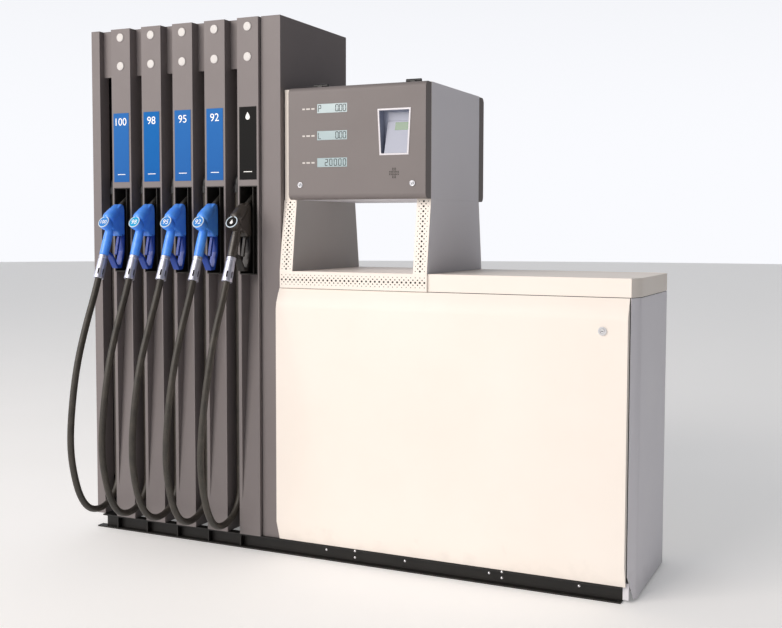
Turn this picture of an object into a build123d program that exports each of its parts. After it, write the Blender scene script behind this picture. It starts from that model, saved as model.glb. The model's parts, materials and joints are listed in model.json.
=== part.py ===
"""Five-hose fuel dispenser: a tall hose tower, a low pump cabinet and a display head on two legs.

Millimetres, +Z up. Front is -Y, the tower is at the left (-X) end. The origin is the middle of the
footprint (OVERALL_W by DEPTH) on the ground. Pieces are drawn with x from the tower's left side and
y from the front face of the tower's posts, and are moved to the origin as they are written.
"""
from build123d import *
import math
import os

# ---------------------------------------------------------------- driving dimensions
OVERALL_W = 2420.0          # tower's left side to the cabinet's end panel
DEPTH = 575.0               # tower posts, front face to back panel
TOWER_W = 962.0
TOWER_H = 2200.0
BASE_H = 60.0               # height of the base channels
SHEET = 2.0                 # folded steel sheet

HOSES = 5
COLUMN_START = 121.0        # first column from the tower's left side
COLUMN_W = 101.0
COLUMN_PROUD = 16.5         # columns stand this far in front of the posts
LINER_Y = 110.0             # inner liner behind the columns
LEFT_POST_W = 44.0
RIGHT_POST_W = 91.0
POST_SLIT = 3.0             # shadow gap between the last column and the right post

GAP_TOP_Y = 28.0            # closing panels between the columns, at the top
GAP_TOP_H = 200.0
GAP_LOW_Y = 64.0            # closing panels between the columns, lower down
GAP_LOW_Z0 = 220.0
GAP_LOW_Z1 = 1440.0

CAP_D = 36.0
CAP_PROUD = 4.0
CAP_DOWN = (161.0, 39.0)    # caps' middles below the tower's top
LABEL_MARGIN = 9.5          # column face left on each side of a grade plate
LABEL_UP = 25.0             # plate's foot above the nozzle pocket
LABEL_H = 297.0
LABEL_THICK = 1.5

BOOT_Z0 = 1150.0            # nozzle pocket in each column
BOOT_Z1 = 1515.0
BOOT_RIM = 7.0              # column face left beside the pocket
BOOT_DEPTH = 104.0
BOOT_WALL = 3.0
BOOT_CHANNEL_W = 16.5       # side channel, at the right of the pocket
BOOT_CHANNEL_DEPTH = 26.0
BOOT_CLEAR = 0.5

SCOOP_DEPTH = 66.0          # tapering hollow below the pocket
SCOOP_Z0 = 200.0
SCOOP_X0 = 15.0
SCOOP_RIM = 6.0
SCOOP_STEP = 20.0           # deepest stretch, just under the pocket
SCOOP_TAIL = 30.0           # scoop's sheet runs on below its hollow

HOSE_D = 28.0
HOSE_GAP_X = 30.0           # hose rises this far left of its column
HOSE_RISE_Y = 34.0
OUTLET_Z = 1490.0
OUTLET_WALL = 2.0           # elbow's bore takes the hose
OUTLET_BEND = 30.0
COLLAR_WALL = 4.0           # collar round the elbow's mouth
COLLAR_LEN = 30.0
OUTLET_RISE = 70.0          # nipple's mouth to the pipe's axis
OUTLET_TAIL = 20.0          # pipe stub behind the liner

SPOUT_D = 22.0
BODY_W = 46.0
BARREL_D = 54.0
GRIP_D = 36.0
SWIVEL_WALL = 4.5           # sleeve round the hose's end
RUN_FIT = 0.05              # radial clearance of a pin or shaft in its hole

CABINET_GAP = 2.0           # between door and lid, and between cabinet and tower
LID_TOP = 1168.0
LID_BAND = 68.0
BAND_PROUD = 5.0            # lid and end panel stand this far in front of the posts
CORNER_X = 25.0             # bevelled corner of the end panel and lid
CORNER_Y = 62.0
DOOR_PROUD = 36.0
DOOR_BACK = 6.0             # door's open back, in front of the posts
DOOR_OVERLAP = 4.0          # door laps over the tower's right post
DOOR_END_GAP = 4.0
DOOR_BEVEL_Z = 140.0
DOOR_BEVEL_IN = 25.0
DOOR_FOLD_DOWN = 85.0       # folds of the door's top below the seam under the lid
DOOR_FOLDS = ((16.0, 30.0), (5.0, 58.0))    # behind the door's face, and below the seam
PIN_D = 10.0
PIN_X = 8.0                 # hinge pin from the tower's right side
PIN_Y = 15.0                # hinge pin in front of the posts
PIN_LEN = 31.0
PIN_FOOT_Z = 150.0
PIN_DOWN = 115.0            # upper pin below the seam
LOCK_D = 26.0
LOCK_RIM = 2.5
LOCK_FROM_END = 90.0
LOCK_DOWN = 119.0
LOCK_PROUD = 4.0
LOCK_BARREL = 18.0

LEG_H = 288.0
HEAD_H = 444.0
HEAD_W = 598.0
HEAD_GAP = 54.0             # covers from the tower
CHASSIS_GAP = 4.0           # chassis from the tower
CHASSIS_UP = 2.0            # chassis above the covers
CHASSIS_RIM_X = 12.0        # frame left round the chassis's front and rear openings
CHASSIS_RIM_Z = 14.0
COVER_PROUD = 28.0
COVER_BACK = 26.0
CHASSIS_Y = 28.0
COVER_SHEET = 2.5
COVER_ROUND = 22.0

DISPLAY_W = 133.0
DISPLAY_H = 36.0
DISPLAY_X0 = 130.5          # from the cover's left side
DISPLAY_TOP = 69.0          # from the cover's top to the first window
DISPLAY_PITCH = 106.0
READER_X0 = 400.0
READER_X1 = 533.0
READER_TAPER = 9.0
READER_TOP = 103.0
READER_H = 170.0
READER_DEPTH = 44.0
READER_CLEAR = 0.5
READER_FLANGE = 4.0
READER_FLANGE_PROUD = 2.0
READER_WALL = 3.0
WEDGE_LIP = 4.0             # keypad wedge in the reader: height of its lower edge
WEDGE_DOWN = 38.0           # its top below the recess's top
WEDGE_FLAT = 5.0            # and the depth of its top
WEDGE_IN = 14.0             # recess floor left at its left side
HEAD_LOCK_D = 18.0
HEAD_LOCK_RIM = 2.0
HEAD_LOCK_PROUD = 3.0
HEAD_LOCK_BARREL = 16.0
HEAD_CAM = (6.0, 18.0, 3.0)  # half width, length, thickness
HEAD_LOCK_X = 54.0
HEAD_LOCK_Z = 58.0
KNUCKLE_D = 14.0
HINGE_W = 62.0
HINGE_X = (88.0, 493.0)     # from the cover's left side
HINGE_PIN_D = 6.0
KNUCKLE_GAP = 0.5
LEAF = 3.0                  # hinge leaf's thickness
LEAF_LEN = 32.0
LEAF_START = 12.0
COVER_LEAF = (13.0, 3.0)    # cover's hinge leaf, front and rear faces before the hinge axis
PANE_LAP = 5.0              # display pane's edge behind the cover
PANE = 3.0
PANE_STEP = 2.0             # raised middle that fills the window
PANE_CLEAR = 0.3

LEG_W = 58.0
LEG_TOP_IN = 28.0           # leg's front edge behind the posts' face at the top
LEG_FOOT_OUT = 11.0         # and in front of it at the foot
LEG_EDGE = 6.0              # leg's front and rear flanges, measured level
FASCIA = 2.0
FASCIA_HOLE_D = 5.5
FASCIA_PITCH = 19.0

BASE_START = 10.0           # base channels from the tower's left side
BASE_END = 45.0             # and short of the cabinet's end
BASE_LIP = 13.0             # base channels' lips in front of the posts
BASE_BACK = 23.0            # back of their webs
BASE_STEEL = 6.0
BASE_STEP = 30.0            # upper lip and web start this far in from the lower lip
CROSS_X = (420.0, 900.0)    # cross members under the cabinet, from the tower's right side
RIB_IN = 5.0
ANCHOR_D = 14.0
ANCHOR_END = 60.0           # outer anchor holes from the two ends
ANCHOR_MIDDLE = 288.0       # inner anchor holes from the middle
ANCHOR_Y = 2.0
PANEL_FOOT = 8.0
PANEL_TAPER_Z = 100.0       # end panel's front corner is cut back below this
PANEL_TAPER_IN = 41.0
FOOT_BLOCK = (3.0, 16.0, 62.0)   # small block in each cut-back corner: gap all round, depth, height
POST_RETURN = 60.0

PUMP_START = 148.0          # first pump's middle from the tower
PUMP_END = 262.0            # last pump's middle from the cabinet's end
PUMP_SIZE = (170.0, 200.0, 220.0)
PUMP_ROUND = 18.0
PUMP_Y = 90.0
DOME_D = 90.0               # air separator on each pump
DOME_H = 60.0
DOME_Y = 60.0
MOTOR_D = 150.0
MOTOR_LEN = 190.0
MOTOR_UP = 20.0
MOTOR_FOOT = (50.0, 30.0, 160.0)     # half width, start and end along the motor
METER_D = 130.0
METER_H = 120.0
METER_Y = 200.0
PULSER = (40.0, 50.0)       # counter on each meter: half width, height
INLET_D = 50.0
INLET_LEN = 100.0
PIPE_D = 34.0
PIPE_CLEAR = 2.0
LINE_Y = 330.0
LINE_DOWN = 200.0           # lowest delivery line below the seam
LINE_STEP = 36.0
PIPE_BEND = 40.0
DECK = 4.0                  # plates that the pumps and meters stand on
SHELF_DOWN = 460.0          # meter shelf below the seam
SHELF_EDGE = 20.0
PAST = 1.0                  # a cutter reaches this far past the face that it opens
WALL_CUT = 20.0             # and this is the length of a drill through a wall
REACH = 60.0                # and of one that clears every fold

COLUMN_PITCH = (TOWER_W - RIGHT_POST_W - POST_SLIT - COLUMN_W - COLUMN_START) / (HOSES - 1)
COLUMN_X = [COLUMN_START + k * COLUMN_PITCH for k in range(HOSES)]
CAB_X0 = TOWER_W + CABINET_GAP
DOOR_X0 = TOWER_W - DOOR_OVERLAP
DOOR_X1 = OVERALL_W - CORNER_X - DOOR_END_GAP
SEAM_Z = LID_TOP - LID_BAND
PIN_Z = (PIN_FOOT_Z, SEAM_Z - PIN_DOWN)
LOCK_Z = SEAM_Z - LOCK_DOWN
SHELF_Z = SEAM_Z - SHELF_DOWN
HEAD_Z0 = LID_TOP + LEG_H
HEAD_Z1 = HEAD_Z0 + HEAD_H
HEAD_X0 = TOWER_W + HEAD_GAP
HEAD_X1 = HEAD_X0 + HEAD_W
CHASSIS_TOP = HEAD_Z1 + CHASSIS_UP
OUTLET_D = HOSE_D + 2 * OUTLET_WALL
SWIVEL_D = HOSE_D + 2 * SWIVEL_WALL


# ---------------------------------------------------------------- helpers
def block(x0, x1, y0, y1, z0, z1):
    return Pos((x0 + x1) / 2, (y0 + y1) / 2, (z0 + z1) / 2) * Box(x1 - x0, y1 - y0, z1 - z0)


def rod(start, end, diameter, hole=0.0):
    """Round bar or tube from one point to another."""
    a, b = Vector(*start), Vector(*end)
    plane = Plane(origin=a, z_dir=b - a)
    face = plane * Circle(diameter / 2)
    if hole:
        face -= plane * Circle(hole / 2)
    return extrude(face, amount=(b - a).length)


def bent_pipe(points, diameter, radius):
    path = FilletPolyline(*points, radius=radius)
    start = Plane(origin=points[0], z_dir=Vector(*points[1]) - Vector(*points[0]))
    return sweep(start * Circle(diameter / 2), path=path)


def prism_x(outline, x0, x1):
    """Outline of (y, z) points, pulled along X."""
    face = make_face(Polyline(*[(x0, y, z) for y, z in outline], close=True))
    return extrude(face, amount=x1 - x0, dir=(1, 0, 0))


def prism_z(outline, z0, z1):
    """Outline of (x, y) points, pulled along Z."""
    face = make_face(Polyline(*[(x, y, z0) for x, y in outline], close=True))
    return extrude(face, amount=z1 - z0, dir=(0, 0, 1))


def prism_y(outline, y0, y1):
    """Outline of (x, z) points, pulled along Y."""
    face = make_face(Polyline(*[(x, y0, z) for x, z in outline], close=True))
    return extrude(face, amount=y1 - y0, dir=(0, 1, 0))


def folded(path, thickness):
    """Outline of a sheet folded along an open path, its thickness on the path's left."""
    inner = []
    for i, (x, y) in enumerate(path):
        normals = []
        for (ax, ay), (bx, by) in zip(path[max(i - 1, 0):i + 1], path[max(i - 1, 0) + 1:i + 2]):
            length = math.hypot(bx - ax, by - ay)
            normals.append(((ay - by) / length, (bx - ax) / length))
        (px, py), (qx, qy) = normals[0], normals[-1]
        scale = thickness / (1 + px * qx + py * qy)
        inner.append((x + (px + qx) * scale, y + (py + qy) * scale))
    return list(path) + inner[::-1]


def to_rear(part):
    """The same piece on the rear side."""
    return mirror(part, about=Plane.XZ.offset(-DEPTH / 2))


def save(name, *solids):
    placed = [Pos(-OVERALL_W / 2, -DEPTH / 2, 0) * s for s in solids]
    shape = placed[0] if len(placed) == 1 else Compound(children=placed)
    export_step(shape, f"parts/{name}.step")


# ---------------------------------------------------------------- base
def base_frame():
    x0, x1 = BASE_START, OVERALL_W - BASE_END
    inner = x0 + BASE_STEP
    web = BASE_BACK - BASE_STEEL
    rail = block(x0, x1, -BASE_LIP, BASE_BACK, 0, BASE_STEEL)
    rail += block(inner, x1, -BASE_LIP, BASE_BACK, BASE_H - BASE_STEEL, BASE_H)
    rail += block(inner, x1, web, BASE_BACK, 0, BASE_H)
    for x in COLUMN_X:
        rail += block(x - BASE_STEEL, x, RIB_IN - BASE_LIP, web, BASE_STEEL, BASE_H - BASE_STEEL)
    middle = OVERALL_W / 2
    for x in (ANCHOR_END, middle - ANCHOR_MIDDLE, middle + ANCHOR_MIDDLE, OVERALL_W - ANCHOR_END):
        rail -= Pos(x, ANCHOR_Y, BASE_STEEL / 2) * Cylinder(ANCHOR_D / 2, BASE_STEEL * 2)
    frame = rail + to_rear(rail)
    for x in (inner, TOWER_W - BASE_STEEL, *[TOWER_W + dx for dx in CROSS_X], x1 - BASE_STEEL):
        frame += block(x, x + BASE_STEEL, BASE_BACK, DEPTH - BASE_BACK, 0, BASE_H)
    return frame


# ---------------------------------------------------------------- hose tower
def tower_side(left):
    width = LEFT_POST_W if left else RIGHT_POST_W
    path = [(width, POST_RETURN), (width, 0), (0, 0), (0, DEPTH)]
    side = prism_z(folded(path, -SHEET), BASE_H, TOWER_H - SHEET)
    if left:
        return side
    side = Pos(TOWER_W, 0, 0) * mirror(side, about=Plane.YZ)
    for k in range(HOSES):
        y, z = delivery_line(k)
        side -= Pos(TOWER_W, y, z) * Rot(0, 90, 0) * Cylinder(PIPE_D / 2 + PIPE_CLEAR, WALL_CUT)
    return side


def tower_roof():
    roof = block(0, TOWER_W, GAP_TOP_Y, DEPTH, TOWER_H - SHEET, TOWER_H)
    roof += block(0, LEFT_POST_W, 0, GAP_TOP_Y, TOWER_H - SHEET, TOWER_H)
    roof += block(TOWER_W - RIGHT_POST_W, TOWER_W, 0, GAP_TOP_Y, TOWER_H - SHEET, TOWER_H)
    return roof


def tower_sheet(y):
    return block(SHEET, TOWER_W - SHEET, y, y + SHEET, BASE_H, TOWER_H - SHEET)


def tower_liner():
    liner = tower_sheet(LINER_Y)
    for x in COLUMN_X:
        hole = Pos(x - HOSE_GAP_X, LINER_Y, OUTLET_Z + OUTLET_RISE) * Rot(90, 0, 0)
        liner -= hole * Cylinder(OUTLET_D / 2 + PAST, WALL_CUT)
    return liner


def column(x):
    front = -COLUMN_PROUD
    top = TOWER_H - SHEET
    path = [(x, LINER_Y), (x, front), (x + COLUMN_W, front), (x + COLUMN_W, LINER_Y)]
    part = prism_z(folded(path, SHEET), BASE_H, top)
    part += block(x + SHEET, x + COLUMN_W - SHEET, front + SHEET, LINER_Y, top - SHEET, top)
    deep, deep_z = front + SCOOP_DEPTH, BOOT_Z0 - SCOOP_STEP
    hollow = [(front - PAST, SCOOP_Z0), (front, SCOOP_Z0), (deep, deep_z), (deep, BOOT_Z0),
              (front - PAST, BOOT_Z0)]
    shell = [(front, SCOOP_Z0 - SCOOP_TAIL), (deep + SHEET, deep_z), (deep + SHEET, BOOT_Z0),
             (front, BOOT_Z0)]
    x0, x1 = x + SCOOP_X0, x + COLUMN_W - SCOOP_RIM
    part += prism_x(shell, x0 - SHEET, x1 + SHEET)
    part -= prism_x(hollow, x0, x1)
    part -= block(x + BOOT_RIM, x + COLUMN_W - BOOT_RIM, front - PAST, front + SHEET + PAST,
                  BOOT_Z0, BOOT_Z1)
    return part


def nozzle_boot(x):
    """Moulded pocket with a lip and a side channel, set in the column's opening."""
    front = -COLUMN_PROUD
    x0, x1 = x + BOOT_RIM + BOOT_CLEAR, x + COLUMN_W - BOOT_RIM - BOOT_CLEAR
    channel = x1 - BOOT_WALL - BOOT_CHANNEL_W
    z0, z1 = BOOT_Z0 + BOOT_CLEAR, BOOT_Z1 - BOOT_CLEAR
    boot = block(x0, x1, front, front + BOOT_DEPTH, z0, z1)
    boot -= block(x0 + BOOT_WALL, channel - BOOT_WALL, front - PAST, front + BOOT_DEPTH - BOOT_WALL,
                  z0 + BOOT_WALL, z1 - BOOT_WALL)
    boot -= block(channel, x1 - BOOT_WALL, front - PAST, front + BOOT_CHANNEL_DEPTH,
                  z0 + BOOT_WALL, z1 - BOOT_WALL)
    return boot


def column_cap(x, down):
    place = Pos(x + COLUMN_W / 2, -COLUMN_PROUD - CAP_PROUD / 2, TOWER_H - down)
    return place * Rot(90, 0, 0) * Cylinder(CAP_D / 2, CAP_PROUD)


def grade_label(x):
    foot = BOOT_Z1 + LABEL_UP
    return block(x + LABEL_MARGIN, x + COLUMN_W - LABEL_MARGIN, -COLUMN_PROUD - LABEL_THICK, -COLUMN_PROUD,
                 foot, foot + LABEL_H)


def gap_panels():
    left = [LEFT_POST_W] + [x + COLUMN_W for x in COLUMN_X[:-1]]
    panels = []
    for x0, x1 in zip(left, COLUMN_X):
        panels.append(block(x0, x1, GAP_TOP_Y, GAP_TOP_Y + SHEET, TOWER_H - GAP_TOP_H, TOWER_H - SHEET))
        panels.append(block(x0, x1, GAP_LOW_Y, GAP_LOW_Y + SHEET, GAP_LOW_Z0, GAP_LOW_Z1))
    return panels


def hose_outlet(x):
    """Elbow that the hose hangs from: a nipple facing down, and a pipe to the rear."""
    gap_x, pipe_z = x - HOSE_GAP_X, OUTLET_Z + OUTLET_RISE
    outlet = bent_pipe([(gap_x, HOSE_RISE_Y, OUTLET_Z), (gap_x, HOSE_RISE_Y, pipe_z),
                        (gap_x, LINER_Y + OUTLET_TAIL, pipe_z)], OUTLET_D, OUTLET_BEND)
    collar_d = OUTLET_D + 2 * COLLAR_WALL
    return outlet + rod((gap_x, HOSE_RISE_Y, OUTLET_Z), (gap_x, HOSE_RISE_Y, OUTLET_Z + COLLAR_LEN), collar_d)


# ---------------------------------------------------------------- nozzles
# Places are (y, z) in the column's middle plane.
GRIP_END = (-142.0, 1224.0)
GRIP_LEN = 110.0
BARREL_END = (-132.0, 1364.0)
SPOUT_START = (-58.0, 1418.0)
SPOUT_TIP = (52.0, 1490.0)
SWIVEL_END = (-178.0, 1127.0)
LEVER_PIN = (-44.0, 1310.0)
LEVER_PIN_D = 6.0
LEVER_W = 12.0
SLOT_CLEAR = 2.0
SPIGOT_D = 20.0
SPIGOT_LEN = 16.0
SWIVEL_GAP = 0.3
SWIVEL_RIM = 2.5            # bead round the sleeve's lower end
SWIVEL_RIM_LEN = 10.0
GUARD_W = 22.0
CASTING_ROUND = 3.0
SPOUT_WALL = 2.0
LEVER_SLOT = (-64.0, -31.0, 1290.0, 1324.0)     # slot in the casting: front, rear, foot and top

CASTING = [(-92, 1404), (-62, 1436), (-44, 1442), (-32, 1434), (-28, 1418), (-28, 1302), (-32, 1298),
           (-58, 1298), (-64, 1326), (-92, 1326), (-122, 1338)]
GUARD = [(-20, 1340), (-20, 1238), (-42, 1168), (-70, 1166), (-100, 1214), (-124, 1228), (-124, 1242),
         (-96, 1227), (-66, 1180), (-50, 1180), (-30, 1240), (-30, 1340)]
LEVER = [(-50, 1318), (-38, 1318), (-38, 1300), (-50, 1250), (-56, 1224), (-66, 1226), (-60, 1256),
         (-49, 1300)]


def at_x(x, point):
    return (x, point[0], point[1])


def toward(start, end, distance):
    """The point at a distance from start, on the line to end."""
    length = math.dist(start, end)
    return tuple(p + (q - p) * distance / length for p, q in zip(start, end))


def nozzle_body(x):
    half = BODY_W / 2
    body = prism_x(CASTING, x - half, x + half)
    body = fillet(body.edges().filter_by(Axis.X), CASTING_ROUND)
    body += rod(at_x(x, BARREL_END), at_x(x, SPOUT_START), BARREL_D)
    grip_top = toward(SWIVEL_END, GRIP_END, math.dist(SWIVEL_END, GRIP_END) + GRIP_LEN)
    body += rod(at_x(x, grip_top), at_x(x, GRIP_END), GRIP_D)
    body += prism_x(GUARD, x - GUARD_W / 2, x + GUARD_W / 2)
    body += rod(at_x(x, GRIP_END), at_x(x, toward(GRIP_END, SWIVEL_END, SPIGOT_LEN)), SPIGOT_D)
    slot = LEVER_W / 2 + SLOT_CLEAR
    body -= block(x - slot, x + slot, *LEVER_SLOT)
    side = half + PAST
    body -= rod(at_x(x - side, LEVER_PIN), at_x(x + side, LEVER_PIN), LEVER_PIN_D + 2 * RUN_FIT)
    body -= rod(at_x(x, SPOUT_START), at_x(x, SPOUT_TIP), SPOUT_D)
    return body


def nozzle_spout(x):
    return rod(at_x(x, SPOUT_START), at_x(x, SPOUT_TIP), SPOUT_D, SPOUT_D - 2 * SPOUT_WALL)


def nozzle_lever(x):
    lever = prism_x(LEVER, x - LEVER_W / 2, x + LEVER_W / 2)
    return lever + rod(at_x(x - BODY_W / 2, LEVER_PIN), at_x(x + BODY_W / 2, LEVER_PIN), LEVER_PIN_D)


def swivel(x):
    start = at_x(x, toward(GRIP_END, SWIVEL_END, SWIVEL_GAP))
    end = at_x(x, SWIVEL_END)
    sleeve = rod(start, end, SWIVEL_D)
    sleeve += rod(at_x(x, toward(SWIVEL_END, GRIP_END, SWIVEL_RIM_LEN)), end, SWIVEL_D + 2 * SWIVEL_RIM)
    socket = at_x(x, toward(GRIP_END, SWIVEL_END, SPIGOT_LEN + PAST))
    sleeve -= rod(start, socket, SPIGOT_D + 2 * RUN_FIT)
    return sleeve


# ---------------------------------------------------------------- hoses
# Each route runs from its swivel to its outlet, as (x from the column's middle, y, z).
HOSE_FILLET = 0.45          # bend radius, as a share of what its shorter run allows
HOSE_LEAVES = 70.0          # straight out of the swivel before it bends
BELLY = [(-3, -258, 930), (-12, -305, 770), (-26, -322, 600), (-42, -318, 450),
         (-56, -290, 330), (-70, -232, 190), (-79, -150, 112)]
HOSE_LEAN = (0.0, 4.0, -5.0, 3.0, 10.0)     # how much nearer the tower each belly hangs
HOSE_FOOT = 112.0           # lowest height of the hose's middle line
HOSE_TURN = 76.0            # reach of the bend into the rise


def hose_route(k):
    middle = COLUMN_X[k] + COLUMN_W / 2
    rise = COLUMN_X[k] - HOSE_GAP_X
    straight = toward(GRIP_END, SWIVEL_END, math.dist(GRIP_END, SWIVEL_END) + HOSE_LEAVES)
    route = [at_x(middle, SWIVEL_END), at_x(middle, straight)]
    for i, (dx, y, z) in enumerate(BELLY):
        lean = HOSE_LEAN[k] if 0 < i < len(BELLY) - 1 else 0.0
        route.append((middle + dx, y + lean, z))
    return route + [(rise, HOSE_RISE_Y - HOSE_TURN, HOSE_FOOT), (rise, HOSE_RISE_Y, HOSE_FOOT + HOSE_TURN),
                    (rise, HOSE_RISE_Y, OUTLET_Z)]


def hose(k):
    points = [Vector(*p) for p in hose_route(k)]
    radii = []
    for a, b, c in zip(points, points[1:], points[2:]):
        half_turn = math.radians((b - a).get_angle(c - b)) / 2
        radii.append(HOSE_FILLET * min((b - a).length, (c - b).length) / math.tan(half_turn))
    path = FilletPolyline(*points, radius=radii)
    start = Plane(origin=points[0], z_dir=points[1] - points[0])
    tube = sweep(start * Circle(HOSE_D / 2), path=path)
    expected = math.pi * HOSE_D ** 2 / 4 * path.length
    print(f"hose {k + 1}: length {path.length:.0f}, radii {[round(r) for r in radii]}, "
          f"volume ratio {tube.volume / expected:.4f}")
    return tube


# ---------------------------------------------------------------- cabinet
FRAME_BAR = 30.0
FRAME_IN = 20.0
FRAME_CLEAR = 4.0
FRAME_END = 10.0            # frame's end before the end panel's corner
CAM = (8.0, 26.0, 4.0)      # lock cam: half width, length, thickness
DOOR_PROFILE = [(-DOOR_BACK, SEAM_Z - CABINET_GAP),
                *[(behind - DOOR_PROUD, SEAM_Z - down) for behind, down in DOOR_FOLDS],
                (-DOOR_PROUD, SEAM_Z - DOOR_FOLD_DOWN), (-DOOR_PROUD, DOOR_BEVEL_Z),
                (DOOR_BEVEL_IN - DOOR_PROUD, BASE_H + CABINET_GAP)]
PIN_AT = (TOWER_W + PIN_X, -PIN_Y)
PIN_WINDOW = 12.0           # door's side is open this far past each pin's ends
PIN_WINDOW_IN = 3.0         # and starts this far behind the door's face
BRACKET = 4.0               # plates that hold the pins
BRACKET_SIDE = 6.0          # plate's edge beside the pin's middle
BRACKET_LAP = 10.0          # plate's weld on the frame
LUG = 6.0                   # door's lugs on the pins
LUG_WALL = 4.0
LUG_LEN = 14.0


def cabinet_frame():
    x0, x1 = CAB_X0 + FRAME_CLEAR, OVERALL_W - CORNER_X - FRAME_END
    y0, y1 = FRAME_IN, DEPTH - FRAME_IN
    z1 = SEAM_Z - CABINET_GAP
    bar = FRAME_BAR
    frame = block(x0, x1, y0, y0 + bar, z1 - bar, z1) + block(x0, x1, y1 - bar, y1, z1 - bar, z1)
    for x in (x0, (x0 + x1) / 2, x1 - bar):
        frame += block(x, x + bar, y0, y0 + bar, BASE_H, z1)
        frame += block(x, x + bar, y1 - bar, y1, BASE_H, z1)
        frame += block(x, x + bar, y0, y1, z1 - bar, z1)
    frame += block(x0, x1, y0, y1, BASE_H, BASE_H + DECK)
    frame += block(x0, x1, y0 + bar, y1 - bar, SHELF_Z, SHELF_Z + DECK)
    for x in (x0, x1 - bar):
        frame += block(x, x + bar, y0, y1, SHELF_Z, SHELF_Z + SHELF_EDGE)
    for z in (PIN_Z[0] - BRACKET, PIN_Z[1] + PIN_LEN):
        bracket = block(PIN_AT[0] - BRACKET_SIDE, x0 + BRACKET_LAP, -PIN_Y - PIN_D, y0 + PAST, z, z + BRACKET)
        frame += bracket + to_rear(bracket)
    return frame


def hinge_pins():
    pins = [rod((*PIN_AT, z), (*PIN_AT, z + PIN_LEN), PIN_D) for z in PIN_Z]
    return pins + [to_rear(pin) for pin in pins]


def cabinet_door():
    door = prism_x(folded(DOOR_PROFILE, SHEET), DOOR_X0, DOOR_X1)
    side = DOOR_PROFILE + [(-DOOR_BACK, BASE_H + CABINET_GAP)]
    door += prism_x(side, DOOR_X0, DOOR_X0 + SHEET)
    door += prism_x(side, DOOR_X1 - SHEET, DOOR_X1)
    for z in PIN_Z:
        door -= block(DOOR_X0 - PAST, DOOR_X0 + SHEET + PAST, -DOOR_PROUD + SHEET + PIN_WINDOW_IN, 0,
                      z - PIN_WINDOW, z + PIN_LEN + PIN_WINDOW)
    for z in PIN_Z:
        middle = z + PIN_LEN / 2
        lug_y = PIN_D / 2 + LUG_WALL - PIN_Y
        door += block(DOOR_X0 + SHEET, PIN_AT[0] + LUG_LEN, SHEET - DOOR_PROUD, lug_y,
                      middle - LUG / 2, middle + LUG / 2)
        door -= rod((*PIN_AT, z), (*PIN_AT, z + PIN_LEN), PIN_D + 2 * RUN_FIT)
    x = DOOR_X1 - LOCK_FROM_END
    door -= Pos(x, -DOOR_PROUD, LOCK_Z) * Rot(90, 0, 0) * Cylinder(LOCK_D / 2 + RUN_FIT, WALL_CUT)
    return door


def door_lock():
    x = DOOR_X1 - LOCK_FROM_END
    half, length, thick = CAM
    face, y = -DOOR_PROUD - SWIVEL_GAP, -DOOR_PROUD + LOCK_BARREL
    head = rod((x, -DOOR_PROUD - LOCK_PROUD, LOCK_Z), (x, face, LOCK_Z), LOCK_D + 2 * LOCK_RIM)
    barrel = rod((x, face, LOCK_Z), (x, y, LOCK_Z), LOCK_D)
    cam = block(x - half, x + half, y, y + thick, LOCK_Z - half, LOCK_Z + length)
    return head + barrel + cam


def plan_outline(inset=0.0):
    """The cabinet's right end in plan, front to rear, with its two bevelled corners."""
    y0, y1, x1 = -BAND_PROUD + inset, DEPTH + BAND_PROUD - inset, OVERALL_W - inset
    return [(x1 - CORNER_X, y0), (x1, y0 + CORNER_Y), (x1, y1 - CORNER_Y), (x1 - CORNER_X, y1)]


def end_panel():
    panel = prism_z(folded(plan_outline(), SHEET), PANEL_FOOT, SEAM_Z - CABINET_GAP)
    back = PANEL_TAPER_IN - BAND_PROUD
    taper = [(-REACH, PANEL_TAPER_Z), (-BAND_PROUD, PANEL_TAPER_Z), (back, PANEL_FOOT), (back, 0),
             (-REACH, 0)]
    cut = prism_x(taper, OVERALL_W - REACH, OVERALL_W + PAST)
    return panel - cut - to_rear(cut)


def corner_foot():
    """Block that closes the corner between the base channel's end and the cut-back end panel."""
    gap, depth, height = FOOT_BLOCK
    x0, x1 = OVERALL_W - BASE_END + gap, OVERALL_W - CORNER_X + SHEET + gap
    return block(x0, x1, gap, gap + depth, PANEL_FOOT + gap, PANEL_FOOT + gap + height)


def lid_block(inset, z0, z1):
    corners = plan_outline(inset)
    x0 = CAB_X0 + inset
    return prism_z([(x0, corners[0][1])] + corners + [(x0, corners[-1][1])], z0, z1)


def cabinet_lid():
    return lid_block(0, SEAM_Z, LID_TOP) - lid_block(SHEET, SEAM_Z - PAST, LID_TOP - SHEET)


# ---------------------------------------------------------------- head and its legs
def leg(x0):
    foot, top = -LEG_FOOT_OUT, LEG_TOP_IN
    outer = [(foot, LID_TOP), (top, HEAD_Z0), (DEPTH - top, HEAD_Z0), (DEPTH - foot, LID_TOP)]
    low, high = foot + LEG_EDGE, top + LEG_EDGE
    inner = [(low, LID_TOP - PAST), (high, HEAD_Z0 + PAST), (DEPTH - high, HEAD_Z0 + PAST),
             (DEPTH - low, LID_TOP - PAST)]
    return prism_x(outer, x0, x0 + LEG_W) - prism_x(inner, x0 + SHEET, x0 + LEG_W - SHEET)


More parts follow.
